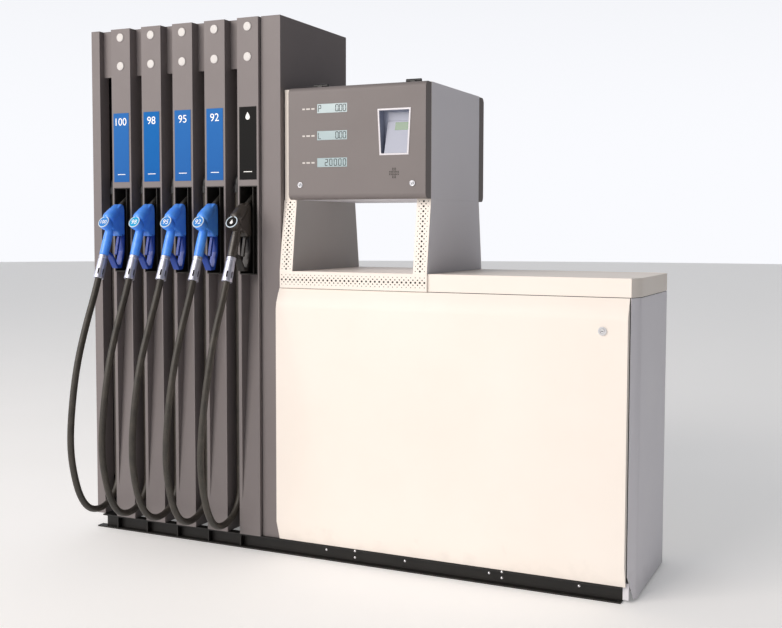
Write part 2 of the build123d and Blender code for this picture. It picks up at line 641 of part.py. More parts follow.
def fascia():
    """Perforated sheet over both legs' front edges and the lid's band below them."""
    foot, top = -LEG_FOOT_OUT, LEG_TOP_IN
    band = -BAND_PROUD
    profile = [(top, HEAD_Z0), (foot, LID_TOP), (foot, SEAM_Z), (foot - FASCIA, SEAM_Z),
               (foot - FASCIA, LID_TOP), (top - FASCIA, HEAD_Z0)]
    x0, x1 = CAB_X0, HEAD_X1
    sheet = prism_x(profile, x0, x1)
    sheet += block(x0, x1, foot, band, SEAM_Z, SEAM_Z + SHEET)
    sheet += block(x0, x0 + SHEET, foot, band, SEAM_Z, LID_TOP)
    sheet += block(x1 - SHEET, x1, foot, band, SEAM_Z, LID_TOP)
    sheet -= block(x0 + LEG_W, x1 - LEG_W, foot - REACH, top + REACH, LID_TOP, HEAD_Z0 + PAST)
    run = x1 - x0 - FASCIA_PITCH
    count = int(run // FASCIA_PITCH)
    for i in range(count + 1):
        x = x0 + FASCIA_PITCH / 2 + run * i / count
        sheet -= Pos(x, foot, LID_TOP - LID_BAND / 2) * Rot(90, 0, 0) * Cylinder(FASCIA_HOLE_D / 2, WALL_CUT)
    rise = HEAD_Z0 - LID_TOP - FASCIA_PITCH
    count = int(rise // FASCIA_PITCH)
    for i in range(count + 1):
        z = LID_TOP + FASCIA_PITCH / 2 + rise * i / count
        y = foot + (top - foot) * (z - LID_TOP) / (HEAD_Z0 - LID_TOP)
        for x in (x0 + LEG_W / 2, x1 - LEG_W / 2):
            sheet -= Pos(x, y, z) * Rot(90, 0, 0) * Cylinder(FASCIA_HOLE_D / 2, WALL_CUT)
    return sheet


def head_chassis():
    y0, y1 = CHASSIS_Y, DEPTH - CHASSIS_Y
    x0 = TOWER_W + CHASSIS_GAP
    chassis = block(x0, HEAD_X1, y0, y1, HEAD_Z0, CHASSIS_TOP)
    chassis -= block(x0 + SHEET, HEAD_X1 - SHEET, y0 + SHEET, y1 - SHEET,
                     HEAD_Z0 + SHEET, CHASSIS_TOP - SHEET)
    window = block(HEAD_X0 + CHASSIS_RIM_X, HEAD_X1 - CHASSIS_RIM_X, y0 - PAST, y0 + SHEET + PAST,
                   HEAD_Z0 + CHASSIS_RIM_Z, HEAD_Z1 - CHASSIS_RIM_Z)
    return chassis - window - to_rear(window)


def cover_shell():
    y0, y1 = -COVER_PROUD, COVER_BACK
    outer = block(HEAD_X0, HEAD_X1, y0, y1, HEAD_Z0, HEAD_Z1)
    front = outer.edges().filter_by_position(Axis.Y, y0 - PAST, y0 + PAST)
    outer = fillet(front.filter_by(Axis.X), COVER_ROUND)
    t = COVER_SHEET
    inner = block(HEAD_X0 + t, HEAD_X1 - t, y0 + t, y1 + PAST, HEAD_Z0 + t, HEAD_Z1 - t)
    edges = inner.edges().filter_by_position(Axis.Y, y0 + t - PAST, y0 + t + PAST)
    return outer - fillet(edges.filter_by(Axis.X), COVER_ROUND - t)


def display_places():
    x0 = HEAD_X0 + DISPLAY_X0
    return [(x0, HEAD_Z1 - DISPLAY_TOP - i * DISPLAY_PITCH) for i in range(3)]


def reader_outline(grow):
    x0, x1 = HEAD_X0 + READER_X0 - grow, HEAD_X0 + READER_X1 + grow
    z1 = HEAD_Z1 - READER_TOP + grow
    z0 = z1 - READER_H - 2 * grow
    return [(x0, z1), (x1, z1), (x1 - READER_TAPER, z0), (x0 + READER_TAPER, z0)]


def lock_places():
    z = HEAD_Z0 + HEAD_LOCK_Z
    return [(HEAD_X0 + HEAD_LOCK_X, z), (HEAD_X1 - HEAD_LOCK_X, z)]


def hinge_axis():
    return (CHASSIS_Y, CHASSIS_TOP + KNUCKLE_D / 2)


def knuckle(x0, x1, y_side):
    """Barrel slice of a cover hinge, with its foot to the cover (-1) or the chassis (+1)."""
    y, z = hinge_axis()
    part = rod((x0, y, z), (x1, y, z), KNUCKLE_D)
    if y_side < 0:
        part += block(x0, x1, y - COVER_LEAF[0], y - COVER_LEAF[1], HEAD_Z1 - PAST, z)
    else:
        part += block(x0, x1, y, y + LEAF_LEN, CHASSIS_TOP, CHASSIS_TOP + LEAF)
    return part


def head_front_cover():
    cover = cover_shell()
    y0 = -COVER_PROUD - PAST
    y1 = -COVER_PROUD + COVER_SHEET + PAST
    for x, z in display_places():
        cover -= block(x, x + DISPLAY_W, y0, y1, z - DISPLAY_H, z)
    cover -= prism_y(reader_outline(READER_CLEAR), y0, y1)
    for x, z in lock_places():
        cover -= Pos(x, y0, z) * Rot(90, 0, 0) * Cylinder(HEAD_LOCK_D / 2 + RUN_FIT, WALL_CUT)
    y, z = hinge_axis()
    for dx in HINGE_X:
        x = HEAD_X0 + dx + HINGE_W / 3
        cover += knuckle(x + KNUCKLE_GAP, x + HINGE_W / 3 - KNUCKLE_GAP, -1)
        cover -= rod((x, y, z), (x + HINGE_W / 3, y, z), HINGE_PIN_D + 2 * RUN_FIT)
    return cover


def cover_hinges():
    y, z = hinge_axis()
    hinges = []
    for dx in HINGE_X:
        x = HEAD_X0 + dx
        hinge = knuckle(x, x + HINGE_W / 3, 1) + knuckle(x + 2 * HINGE_W / 3, x + HINGE_W, 1)
        hinge += block(x, x + HINGE_W, y + LEAF_START, y + LEAF_LEN, CHASSIS_TOP, CHASSIS_TOP + LEAF)
        hinge += rod((x, y, z), (x + HINGE_W, y, z), HINGE_PIN_D)
        hinges.append(hinge)
    return hinges


def display_windows():
    windows = []
    y = -COVER_PROUD + COVER_SHEET
    for x, z in display_places():
        x1, foot = x + DISPLAY_W, z - DISPLAY_H
        pane = block(x - PANE_LAP, x1 + PANE_LAP, y, y + PANE, foot - PANE_LAP, z + PANE_LAP)
        step = block(x + PANE_CLEAR, x1 - PANE_CLEAR, y - PANE_STEP, y, foot + PANE_CLEAR, z - PANE_CLEAR)
        windows.append(pane + step)
    return windows


def card_reader():
    """Recessed reader with a keypad wedge that slopes back from its lower edge."""
    y0, y1 = -COVER_PROUD, READER_DEPTH - COVER_PROUD
    reader = prism_y(reader_outline(0), y0, y1)
    reader += prism_y(reader_outline(READER_FLANGE), y0 - READER_FLANGE_PROUD, y0)
    inner = reader_outline(-READER_WALL)
    back = y1 - READER_WALL
    reader -= prism_y(inner, y0 - READER_FLANGE_PROUD - PAST, back)
    top, foot = inner[0][1], inner[2][1]
    edge = y0 + READER_WALL
    crest = top - WEDGE_DOWN
    wedge = [(edge, foot), (edge, foot + WEDGE_LIP), (back - WEDGE_FLAT, crest), (back, crest), (back, foot)]
    reader += prism_x(wedge, inner[3][0] - READER_WALL + WEDGE_IN, inner[2][0])
    return reader


def head_lock(x, z):
    face, end = -COVER_PROUD - SWIVEL_GAP, HEAD_LOCK_BARREL - COVER_PROUD
    half, length, thick = HEAD_CAM
    lock = rod((x, -COVER_PROUD - HEAD_LOCK_PROUD, z), (x, face, z), HEAD_LOCK_D + 2 * HEAD_LOCK_RIM)
    lock += rod((x, face, z), (x, end, z), HEAD_LOCK_D)
    return lock + block(x - half, x + half, end, end + thick, z - half, z + length)


# ---------------------------------------------------------------- pumps and pipes inside
def pump_x(k):
    first, last = TOWER_W + PUMP_START, OVERALL_W - PUMP_END
    return first + (last - first) * k / (HOSES - 1)


def delivery_line(k):
    """Depth and height of the pipe that runs from meter k into the tower."""
    return LINE_Y + LINE_STEP * k, SEAM_Z - LINE_DOWN + LINE_STEP * k


def pump_unit(x):
    width, depth, height = PUMP_SIZE
    z0 = BASE_H + DECK
    top, dome_y = z0 + height, PUMP_Y + DOME_Y
    unit = block(x - width / 2, x + width / 2, PUMP_Y, PUMP_Y + depth, z0, top)
    unit = fillet(unit.edges().filter_by(Axis.Z), PUMP_ROUND)
    return unit + rod((x, dome_y, top), (x, dome_y, top + DOME_H), DOME_D)


def pump_motor(x):
    y, z0 = PUMP_Y + PUMP_SIZE[1], BASE_H + DECK
    z = z0 + MOTOR_D / 2 + MOTOR_UP
    half, start, end = MOTOR_FOOT
    motor = rod((x, y, z), (x, y + MOTOR_LEN, z), MOTOR_D)
    return motor + block(x - half, x + half, y + start, y + end, z0, z)


def flow_meter(x):
    z0, y = SHELF_Z + DECK, METER_Y
    top = z0 + METER_H
    half, height = PULSER
    meter = rod((x, y, z0), (x, y, top), METER_D)
    meter += block(x - half, x + half, y - half, y + half, top, top + height)
    inlet_z = z0 + METER_H / 2
    return meter + rod((x, y - INLET_LEN, inlet_z), (x, y, inlet_z), INLET_D)


def pipes(k):
    """Riser from a pump to its meter's deck, and the delivery line from the meter to its outlet."""
    x, riser_y = pump_x(k), PUMP_Y + DOME_Y
    riser = rod((x, riser_y, BASE_H + DECK + PUMP_SIZE[2] + DOME_H), (x, riser_y, SHELF_Z), PIPE_D)
    y, z = delivery_line(k)
    up_x, end_y, pipe_z = COLUMN_X[HOSES - 1 - k] - HOSE_GAP_X, LINER_Y + OUTLET_TAIL, OUTLET_Z + OUTLET_RISE
    meter_top = SHELF_Z + DECK + METER_H + PULSER[1]
    line = bent_pipe([(x, METER_Y, meter_top), (x, METER_Y, z), (x, y, z), (up_x, y, z),
                      (up_x, y, pipe_z), (up_x, end_y, pipe_z)], PIPE_D, PIPE_BEND)
    return [riser, line]


# ---------------------------------------------------------------- write every piece
os.makedirs("parts", exist_ok=True)

save("base_frame", base_frame())
save("tower_left_side", tower_side(True))
save("tower_right_side", tower_side(False))
save("tower_roof", tower_roof())
save("tower_back_panel", tower_sheet(DEPTH - SHEET))
save("tower_liner", tower_liner())
save("tower_columns", *[column(x) for x in COLUMN_X])
save("nozzle_boots", *[nozzle_boot(x) for x in COLUMN_X])
save("column_caps", *[column_cap(x, down) for x in COLUMN_X for down in CAP_DOWN])
save("grade_labels", *[grade_label(x) for x in COLUMN_X])
save("gap_panels", *gap_panels())
save("hose_outlets", *[hose_outlet(x) for x in COLUMN_X])

for n, left_x in enumerate(COLUMN_X):
    middle_x = left_x + COLUMN_W / 2
    save(f"nozzle_{n + 1}_body", nozzle_body(middle_x))
    save(f"nozzle_{n + 1}_spout", nozzle_spout(middle_x))
    save(f"nozzle_{n + 1}_lever", nozzle_lever(middle_x))
    save(f"swivel_{n + 1}", swivel(middle_x))
    save(f"hose_{n + 1}", hose(n))

save("cabinet_frame", cabinet_frame())
save("door_hinge_pins", *hinge_pins())
front_door, front_lock = cabinet_door(), door_lock()
save("cabinet_front_door", front_door)
save("front_door_lock", front_lock)
save("cabinet_rear_door", to_rear(front_door))
save("rear_door_lock", to_rear(front_lock))
front_foot = corner_foot()
save("cabinet_end_panel", end_panel(), front_foot, to_rear(front_foot))
save("cabinet_lid", cabinet_lid())

save("left_leg", leg(CAB_X0))
save("right_leg", leg(HEAD_X1 - LEG_W))
front_fascia = fascia()
save("perforated_fascias", front_fascia, to_rear(front_fascia))
save("head_chassis", head_chassis())
save("head_front_cover", head_front_cover())
save("head_rear_cover", to_rear(cover_shell()))
save("display_windows", *display_windows())
save("card_reader", card_reader())
save("cover_hinges", *cover_hinges())
for side_name, place in zip(("left", "right"), lock_places()):
    save(f"head_lock_{side_name}", head_lock(*place))

save("pump_units", *[pump_unit(pump_x(k)) for k in range(HOSES)])
save("pump_motors", *[pump_motor(pump_x(k)) for k in range(HOSES)])
save("flow_meters", *[flow_meter(pump_x(k)) for k in range(HOSES)])
save("pipework", *[pipe for k in range(HOSES) for pipe in pipes(k)])
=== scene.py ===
import json
import math
import bmesh
import bpy
from mathutils import Matrix, Vector

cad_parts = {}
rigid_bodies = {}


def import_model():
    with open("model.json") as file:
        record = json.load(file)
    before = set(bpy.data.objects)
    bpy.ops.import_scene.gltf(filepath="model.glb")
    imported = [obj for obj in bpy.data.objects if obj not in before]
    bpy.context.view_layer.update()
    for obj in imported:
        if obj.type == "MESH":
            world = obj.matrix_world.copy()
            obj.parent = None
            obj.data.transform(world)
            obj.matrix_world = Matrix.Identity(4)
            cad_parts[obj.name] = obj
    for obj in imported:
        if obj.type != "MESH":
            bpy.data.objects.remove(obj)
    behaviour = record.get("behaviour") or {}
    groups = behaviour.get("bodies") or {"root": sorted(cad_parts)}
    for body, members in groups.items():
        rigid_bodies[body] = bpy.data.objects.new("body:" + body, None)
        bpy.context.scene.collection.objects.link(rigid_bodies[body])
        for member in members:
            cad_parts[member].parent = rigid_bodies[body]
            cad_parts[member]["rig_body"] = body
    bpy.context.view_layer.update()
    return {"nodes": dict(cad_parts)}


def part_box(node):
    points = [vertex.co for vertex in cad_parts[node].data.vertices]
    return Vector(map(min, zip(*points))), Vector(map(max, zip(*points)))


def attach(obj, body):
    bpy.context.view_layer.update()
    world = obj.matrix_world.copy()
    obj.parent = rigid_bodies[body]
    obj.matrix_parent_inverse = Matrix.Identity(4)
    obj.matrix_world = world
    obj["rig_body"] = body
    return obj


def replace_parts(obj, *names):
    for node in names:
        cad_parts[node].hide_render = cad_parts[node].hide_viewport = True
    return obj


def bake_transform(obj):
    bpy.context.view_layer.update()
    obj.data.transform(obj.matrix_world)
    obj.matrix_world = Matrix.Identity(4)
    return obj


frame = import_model()

# Places are in millimetres from the tower's front left corner on the ground: x to the right,
# y to the rear and z up, as the sheet metal is drawn. at() turns one into metres in the row frame.
MM = 0.001
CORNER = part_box("tower_left_side")[0]
CORNER.z = 0.0
HOSES = 5
DEPTH = 575.0               # front to rear of the cabinet and its fascias
COLUMN_FACE = -16.5         # columns' front face
BLACK_HOSE = 4              # the last hose is the black diesel one


def at(x, y, z):
    """A place in millimetres from the corner, as metres in the row frame."""
    return CORNER + Vector((x, y, z)) * MM


def corner_mm(point):
    """A place in metres in the row frame, as millimetres from the corner."""
    return (Vector(point) - CORNER) / MM


def node_box(name):
    """A CAD node's lowest and highest corners, in millimetres from the corner."""
    low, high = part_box(name)
    return corner_mm(low), corner_mm(high)


def column_middle(k):
    """The x of the middle plane that column k shares with its nozzle."""
    low, high = node_box(f"nozzle_{k + 1}_body")
    return (low.x + high.x) / 2


# ---------------------------------------------------------------- camera, floor and light
EYE = (3225.3, -3778.1, 1342.2)
YAW, PITCH, ROLL = 24.76, -3.38, 0.16       # degrees; a pitch of 0 looks level
LENS, SENSOR = 49.44, 36.0                  # millimetres
SHIFT = (-0.00744, -0.0284)
CEILING = 0.6               # brightness overhead, against 1 low down behind the object
RIGHT_WALL = 0.15           # brightness at the right
FLOOR_GLOW = 0.2            # lit from below, as a light table is
KEY_POWER = 840.0           # watts
FLOOR_RADIUS = 40.0         # metres


def make_camera():
    """The view from the front right, a little above the middle of the machine."""
    data = bpy.data.cameras.new("view")
    data.lens, data.sensor_width = LENS, SENSOR
    data.shift_x, data.shift_y = SHIFT
    data.dof.use_dof = False
    camera = bpy.data.objects.new("view", data)
    turn = Matrix.Rotation(math.radians(YAW), 4, "Z")
    turn @= Matrix.Rotation(math.radians(90 + PITCH), 4, "X")
    turn @= Matrix.Rotation(math.radians(ROLL), 4, "Z")
    camera.matrix_world = Matrix.Translation(at(*EYE)) @ turn
    bpy.context.scene.collection.objects.link(camera)
    bpy.context.scene.camera = camera


def linear(colour, alpha=1.0):
    """An sRGB hex colour as linear red, green, blue and alpha."""
    parts = [int(colour[i:i + 2], 16) / 255 for i in (0, 2, 4)]
    return [c / 12.92 if c <= 0.04045 else ((c + 0.055) / 1.055) ** 2.4 for c in parts] + [alpha]


def softbox(name, place, aim, size, power, colour):
    """A rectangular lamp that faces aim, in metres in the row frame."""
    data = bpy.data.lights.new(name, "AREA")
    data.shape = "RECTANGLE"
    data.size, data.size_y = size
    data.energy = power
    data.color = linear(colour)[:3]
    lamp = bpy.data.objects.new(name, data)
    lamp.location = place
    lamp.rotation_euler = (Vector(aim) - Vector(place)).to_track_quat("-Z", "Y").to_euler()
    bpy.context.scene.collection.objects.link(lamp)


def studio_world():
    """White backdrop low down behind the object, a dimmer ceiling and a dim wall at the right."""
    world = bpy.data.worlds.new("studio")
    bpy.context.scene.world = world
    world.use_nodes = True
    tree = world.node_tree
    axes = tree.nodes.new("ShaderNodeSeparateXYZ")
    ways = tree.nodes.new("ShaderNodeTexCoord")
    tree.links.new(ways.outputs["Generated"], axes.inputs[0])
    ramps = []
    for axis, start, end, far in (("Z", 0.05, 0.75, CEILING), ("X", 0.0, 0.35, RIGHT_WALL)):
        ramp = tree.nodes.new("ShaderNodeMapRange")
        ramp.interpolation_type = "SMOOTHSTEP"
        tree.links.new(axes.outputs[axis], ramp.inputs["Value"])
        for socket, value in (("From Min", start), ("From Max", end), ("To Min", 1.0), ("To Max", far)):
            ramp.inputs[socket].default_value = value
        ramps.append(ramp.outputs[0])
    both = tree.nodes.new("ShaderNodeMath")
    both.operation = "MULTIPLY"
    tree.links.new(ramps[0], both.inputs[0])
    tree.links.new(ramps[1], both.inputs[1])
    background = tree.nodes["Background"]
    background.inputs["Color"].default_value = linear("FAFBFF")
    tree.links.new(both.outputs[0], background.inputs["Strength"])


def make_studio():
    """World, one large soft lamp at the front left, and the floor."""
    scene = bpy.context.scene
    scene.view_settings.view_transform = "Standard"
    studio_world()
    softbox("key", (-4.5, -9.0, 5.6), (0.0, 0.0, 1.0), (8.0, 6.0), KEY_POWER, "FFF6EE")
    mesh = bpy.data.meshes.new("floor")
    bm = bmesh.new()
    bmesh.ops.create_circle(bm, cap_ends=True, segments=96, radius=FLOOR_RADIUS)
    bm.to_mesh(mesh)
    bm.free()
    floor = bpy.data.objects.new("floor", mesh)
    scene.collection.objects.link(floor)
    floor.data.materials.append(floor_paint())


# ---------------------------------------------------------------- material helpers
def shader_of(material):
    """The node that holds a material's colour, gloss and glow."""
    return material.node_tree.nodes["Principled BSDF"]


def new_material(name, colour, roughness, metallic=0.0, ior=1.5, coat=0.0):
    """A material that is the same all over."""
    material = bpy.data.materials.new(name)
    material.use_nodes = True
    inputs = shader_of(material).inputs
    inputs["Base Color"].default_value = linear(colour)
    inputs["Roughness"].default_value = roughness
    inputs["Metallic"].default_value = metallic
    inputs["IOR"].default_value = ior
    inputs["Coat Weight"].default_value = coat
    material.diffuse_color = linear(colour)
    return material


def give_light(material, colour, strength):
    """A light of the surface's own."""
    inputs = shader_of(material).inputs
    inputs["Emission Color"].default_value = linear(colour)
    inputs["Emission Strength"].default_value = strength


def add(material, kind, inputs=None, out=0, to=None, **settings):
    """Adds a node with its settings and its inputs, each a value or another node's output.
    Gives back the output named out. With to, that output also feeds this input of the shader."""
    tree = material.node_tree
    node = tree.nodes.new(kind)
    for key, value in settings.items():
        setattr(node, key, value)
    for socket, value in (inputs or {}).items():
        if isinstance(value, bpy.types.NodeSocket):
            tree.links.new(value, node.inputs[socket])
        else:
            node.inputs[socket].default_value = value
    if to:
        tree.links.new(node.outputs[out], shader_of(material).inputs[to])
    return node.outputs[out]


def blotches(material, size_mm, detail, raggedness=0.5, span=None, to=None):
    """Soft blotches about size_mm across. With span, their middle tones are stretched to run over it."""
    place = add(material, "ShaderNodeTexCoord", out="Object")
    noise = add(material, "ShaderNodeTexNoise", {"Vector": place, "Scale": 1.0 / (size_mm * MM),
                                                 "Detail": detail, "Roughness": raggedness}, "Fac")
    if span is None:
        return noise
    return add(material, "ShaderNodeMapRange", {"Value": noise, "From Min": 0.3, "From Max": 0.7,
                                                "To Min": span[0], "To Max": span[1]}, to=to)


def mottle(material, under, over, size_mm, detail, raggedness=0.5, span=None):
    """Base colour with blotches of a second shade over the first."""
    share = blotches(material, size_mm, detail, raggedness, span)
    return add(material, "ShaderNodeMix", {"Factor": share, "A": under, "B": linear(over)}, "Result",
               "Base Color", data_type="RGBA", clamp_factor=True)


def shade_by_height(material, under, over, foot, top, shares, ragged_mm=0.0):
    """Base colour with a second shade over the first. Its share runs from one value at the foot to another
    at the top, both in metres, along an edge that can be ragged."""
    place = add(material, "ShaderNodeTexCoord", out="Object")
    height = add(material, "ShaderNodeSeparateXYZ", {"Vector": place}, "Z")
    if ragged_mm:
        height = add(material, "ShaderNodeMath", {0: height, 1: blotches(material, ragged_mm, 5.0)},
                     operation="MULTIPLY")
    share = add(material, "ShaderNodeMapRange", {"Value": height, "From Min": foot, "From Max": top,
                                                 "To Min": shares[0], "To Max": shares[1]})
    return add(material, "ShaderNodeMix", {"Factor": share, "A": under, "B": linear(over)}, "Result",
               "Base Color", data_type="RGBA", clamp_factor=True)


def raised_grain(material, size_mm, detail, strength, depth_mm):
    """A skin of small bumps about size_mm across and depth_mm deep."""
    add(material, "ShaderNodeBump", {"Height": blotches(material, size_mm, detail), "Strength": strength,
                                     "Distance": depth_mm * MM}, to="Normal")


# ---------------------------------------------------------------- materials
FULL = (0.0, 1.0)
DUST_SHARE = 0.16           # how much of the dust's colour shows at the very foot
LABEL_FADE = (1.54, 1.84)   # heights in metres over which a grade plate deepens


def floor_paint():
    """Painted studio floor: even, pale and matt."""
    material = new_material("studio_floor_paint", "F4F3F1", 0.9)
    mottle(material, linear("F1F0EE"), "F6F5F4", 900.0, 2.0)
    give_light(material, "FFFFFF", FLOOR_GLOW)
    return material


def powder_coat(name, dark, light, roughness, dust="8E8A84", dust_height=0.0):
    """Polyester powder coat on folded steel: even colour, a soft sheen and a fine orange peel.
    The real peel is about 1 mm across; it is drawn at 2 mm so that it shows. Dust settles at the foot."""
    material = new_material(name, light, roughness)
    colour = mottle(material, linear(dark), light, 420.0, 4.0, span=FULL)
    if dust_height:
        shade_by_height(material, colour, dust, 0.0, dust_height, (DUST_SHARE, 0.0), 60.0)
    blotches(material, 90.0, 3.0, span=(roughness - 0.02, roughness + 0.02), to="Roughness")
    raised_grain(material, 2.2, 1.0, 0.12, 0.12)
    return material


def moulded_plastic(name, dark, light, roughness, coat=0.0, grain_mm=1.4, depth=0.2):
    """Injection-moulded plastic: a spark-eroded grain, drawn a little coarse, and a faint cloudiness."""
    material = new_material(name, light, roughness, coat=coat)
    mottle(material, linear(dark), light, 60.0, 3.0)
    raised_grain(material, grain_mm, 2.0, depth, 0.1)
    return material


def dipped_vinyl(name, dark, light, worn):
    """Dip-moulded PVC nozzle cover: glossy, slightly wavy, rubbed paler in patches by hands."""
    material = new_material(name, light, 0.34, ior=1.52, coat=0.25)
    shader_of(material).inputs["Coat Roughness"].default_value = 0.2
    colour = mottle(material, linear(dark), light, 28.0, 4.0, span=FULL)
    mottle(material, colour, worn, 9.0, 6.0, 0.7, span=(-0.5, 0.25))
    blotches(material, 14.0, 4.0, span=(0.28, 0.42), to="Roughness")
    raised_grain(material, 6.0, 3.0, 0.12, 0.5)
    return material


def bare_metal(name, dark, light, roughness, mark_mm=0.8, depth=0.12):
    """Turned or plated metal: fine tool marks, drawn about 1 mm across, and an uneven polish."""
    material = new_material(name, light, roughness, metallic=1.0)
    mottle(material, linear(dark), light, 18.0, 4.0)
    blotches(material, 5.0, 3.0, span=(roughness - 0.06, roughness + 0.1), to="Roughness")
    raised_grain(material, mark_mm, 1.0, depth, 0.08)
    return material


def cast_metal(name, dark, light, roughness, metallic=0.9):
    """Sand-cast aluminium or painted iron: a pebbly skin of about 1.5 mm."""
    material = new_material(name, light, roughness, metallic=metallic)
    mottle(material, linear(dark), light, 35.0, 4.0)
    raised_grain(material, 1.5, 3.0, 0.4, 0.4)
    return material


def hose_rubber():
    """Fuel hose in nitrile rubber, cured in a cloth wrap: dull black, pale with dust in patches, with the
    cloth's fine threads pressed in along it."""
    material = new_material("nitrile_hose_rubber", "34302B", 0.5, ior=1.52)
    colour = mottle(material, linear("2A2722"), "3D3831", 45.0, 5.0, span=FULL)
    mottle(material, colour, "5A534A", 7.0, 5.0, 0.7, span=(-0.3, 0.3))
    around = add(material, "ShaderNodeUVMap")
    threads = add(material, "ShaderNodeTexWave", {"Vector": around, "Scale": 95.0, "Distortion": 0.6,
                                                  "Detail": 1.0}, "Fac", wave_type="BANDS",
                  bands_direction="X")
    add(material, "ShaderNodeBump", {"Height": threads, "Strength": 0.25, "Distance": 0.25 * MM},
        to="Normal")
    return material


def label_film(name, top, foot=None):
    """Printed vinyl film: smooth and slightly glossy, and deeper towards its foot where one is given."""
    material = new_material(name, top, 0.7, ior=1.3)
    if foot:
        shade_by_height(material, linear(foot), top, *LABEL_FADE, FULL)
    raised_grain(material, 12.0, 2.0, 0.05, 0.2)
    return material


def display_pane(name, colour):
    """Backlit display: a smooth glossy pane with a faint light of its own."""
    material = new_material(name, colour, 0.2, coat=0.3)
    give_light(material, colour, 0.02)
    return material


# Powder coats, by where they are on the machine, and the feet are dusty. The pale grey copy of the cream
# and the left leg's darker grey are painted shade: both stand for the cream paint in shade.
PAINT = {
    "tower": powder_coat("powder_coat_warm_grey", "777070", "7B7474", 0.55, dust_height=0.05),
    "cream": powder_coat("powder_coat_cream", "F0E7DE", "F3EBE3", 0.5, dust_height=0.05),
    # painted shade: the cream paint, greyed and cooled as it looks on faces turned away from the lamp
    "cream_painted_shade": powder_coat("powder_coat_cream_painted_shade", "E2E0E7", "E6E4EA", 0.5, dust_height=0.05),
    # painted shade: a darker grey for the left leg's inner face, shadowed under the head
    "left_leg_painted_shade": powder_coat("powder_coat_left_leg_painted_shade", "A9A5A2", "ADA9A6", 0.5),
    "head": powder_coat("powder_coat_head_grey", "736C6B", "77706F", 0.55),
    "base": powder_coat("black_enamel", "080706", "0E0C0A", 0.55, dust="3A352E", dust_height=0.03),
    # painted shade: near-black for the shade inside the tower, seen through the gaps
    "inner": powder_coat("inner_painted_shade", "1A1A1D", "212125", 0.6),
    # black of the real hinges, and painted shade on the hose outlets up in the gaps
    "hinge": powder_coat("black_paint_hinges_and_painted_shade", "121213", "19191B", 0.45),
}
# Moulded and dipped plastics: satin pockets and caps, glossy nozzle covers, harder guards.
BOOT_PLASTIC = moulded_plastic("polypropylene_dark_grey", "24211F", "2D2A27", 0.5)
CAP_PLASTIC = moulded_plastic("polythene_white", "C6C3C1", "CFCCCA", 0.4, coat=0.1)
BLUE_COVER = dipped_vinyl("dipped_vinyl_blue", "4690FF", "58A2FF", "9AC6FF")
BLACK_COVER = dipped_vinyl("dipped_vinyl_black", "312C28", "3F3933", "5A5148")
BLUE_GUARD = moulded_plastic("nylon_deep_blue", "16409E", "1D4AAE", 0.42, coat=0.1)
BLACK_GUARD = moulded_plastic("nylon_black", "1C1A18", "262320", 0.45)
# Metals: silky zinc, dull worn aluminium, near-mirror chrome, rough castings and grey galvanising.
BRIGHT_PLATE = bare_metal("satin_zinc_plate", "C4C6D4", "DEE0EE", 0.46, mark_mm=1.6, depth=0.04)
SPOUT_TUBE = bare_metal("worn_aluminium_tube", "7D7872", "9A958E", 0.35)
STEEL_PIN = bare_metal("turned_steel", "8A8A8C", "A5A5A8", 0.3)
CHROME = bare_metal("chrome_plate", "C4C4C8", "E2E2E4", 0.16, depth=0.04)
PUMP_CASTING = cast_metal("sand_cast_aluminium", "83868A", "9C9FA2", 0.45)
MOTOR_ENAMEL = cast_metal("motor_enamel", "4C5A66", "596874", 0.45, metallic=0.0)
PIPE_ZINC = bare_metal("galvanised_pipe", "7F8486", "A0A5A6", 0.4, mark_mm=6.0, depth=0.05)
RUBBER = hose_rubber()
# Inks: flat, even and matt. The black of slots, punched holes and speaker holes is painted shade in the
# openings.
SLOT_PAINTED_SHADE = new_material("slot_painted_shade", "0C0C0D", 0.6)
WHITE_INK = moulded_plastic("white_ink", "F2F2F0", "FAFAF8", 0.35, grain_mm=4.0, depth=0.05)
CAPTION_INK = moulded_plastic("caption_ink_grey", "C9C4C0", "D2CDC9", 0.5, grain_mm=4.0, depth=0.05)
DARK_INK = moulded_plastic("lcd_black", "1F2C30", "26343A", 0.3, grain_mm=4.0, depth=0.05)
HOLE_PAINTED_SHADE = moulded_plastic("hole_painted_shade", "0A0908", "0E0C0B", 0.9, grain_mm=2.0)
SPEAKER_PAINTED_SHADE = moulded_plastic("speaker_hole_painted_shade", "2E2926", "37312D", 0.7, grain_mm=2.0)
# The head's panes and its reader: smooth and a little glossy.
DISPLAY_PANE = display_pane("lcd_pale_cyan", "A2B5B9")
GREEN_PANE = display_pane("lcd_grey_green", "5C7E62")
READER_SHELL = moulded_plastic("silver_lilac_abs", "8F95A8", "979DB0", 0.36, 0.3, 5.0, 0.05)
READER_RIM = moulded_plastic("pale_abs_rim", "D2CFD4", "DAD7DC", 0.3, 0.2, 5.0, 0.05)
BADGE_RING = moulded_plastic("badge_ring_white", "C8DCEA", "DCE9F2", 0.3, 0.3, 4.0, 0.05)
# Grade plates, from the first hose: the number, and the film's colour at its top and its foot.
GRADES = [("100", "2268B0", "1E60A8"), ("98", "0064AE", "005CA6"), ("95", "2268B0", "1E60A8"),
          ("92", "2268B0", "1E60A8"), ("", "0B0A0A", "080808")]
BADGE_FACES = [label_film(f"badge_film_{k + 1}", colour) for k, colour in
               enumerate(("3C86D2", "22A2D6", "3C86D2", "3C86D2", "0F0F0F"))]


def finish_node(name, material):
    """Gives a CAD node that is shown as it is its finish."""
    for slot in frame["nodes"][name].material_slots:
        slot.material = material


# ---------------------------------------------------------------- mesh helpers
WELD = 0.00002              # metres; vertices this close are one
SMOOTH_ANGLE = 35.0         # degrees; an edge that turns more than this stays sharp


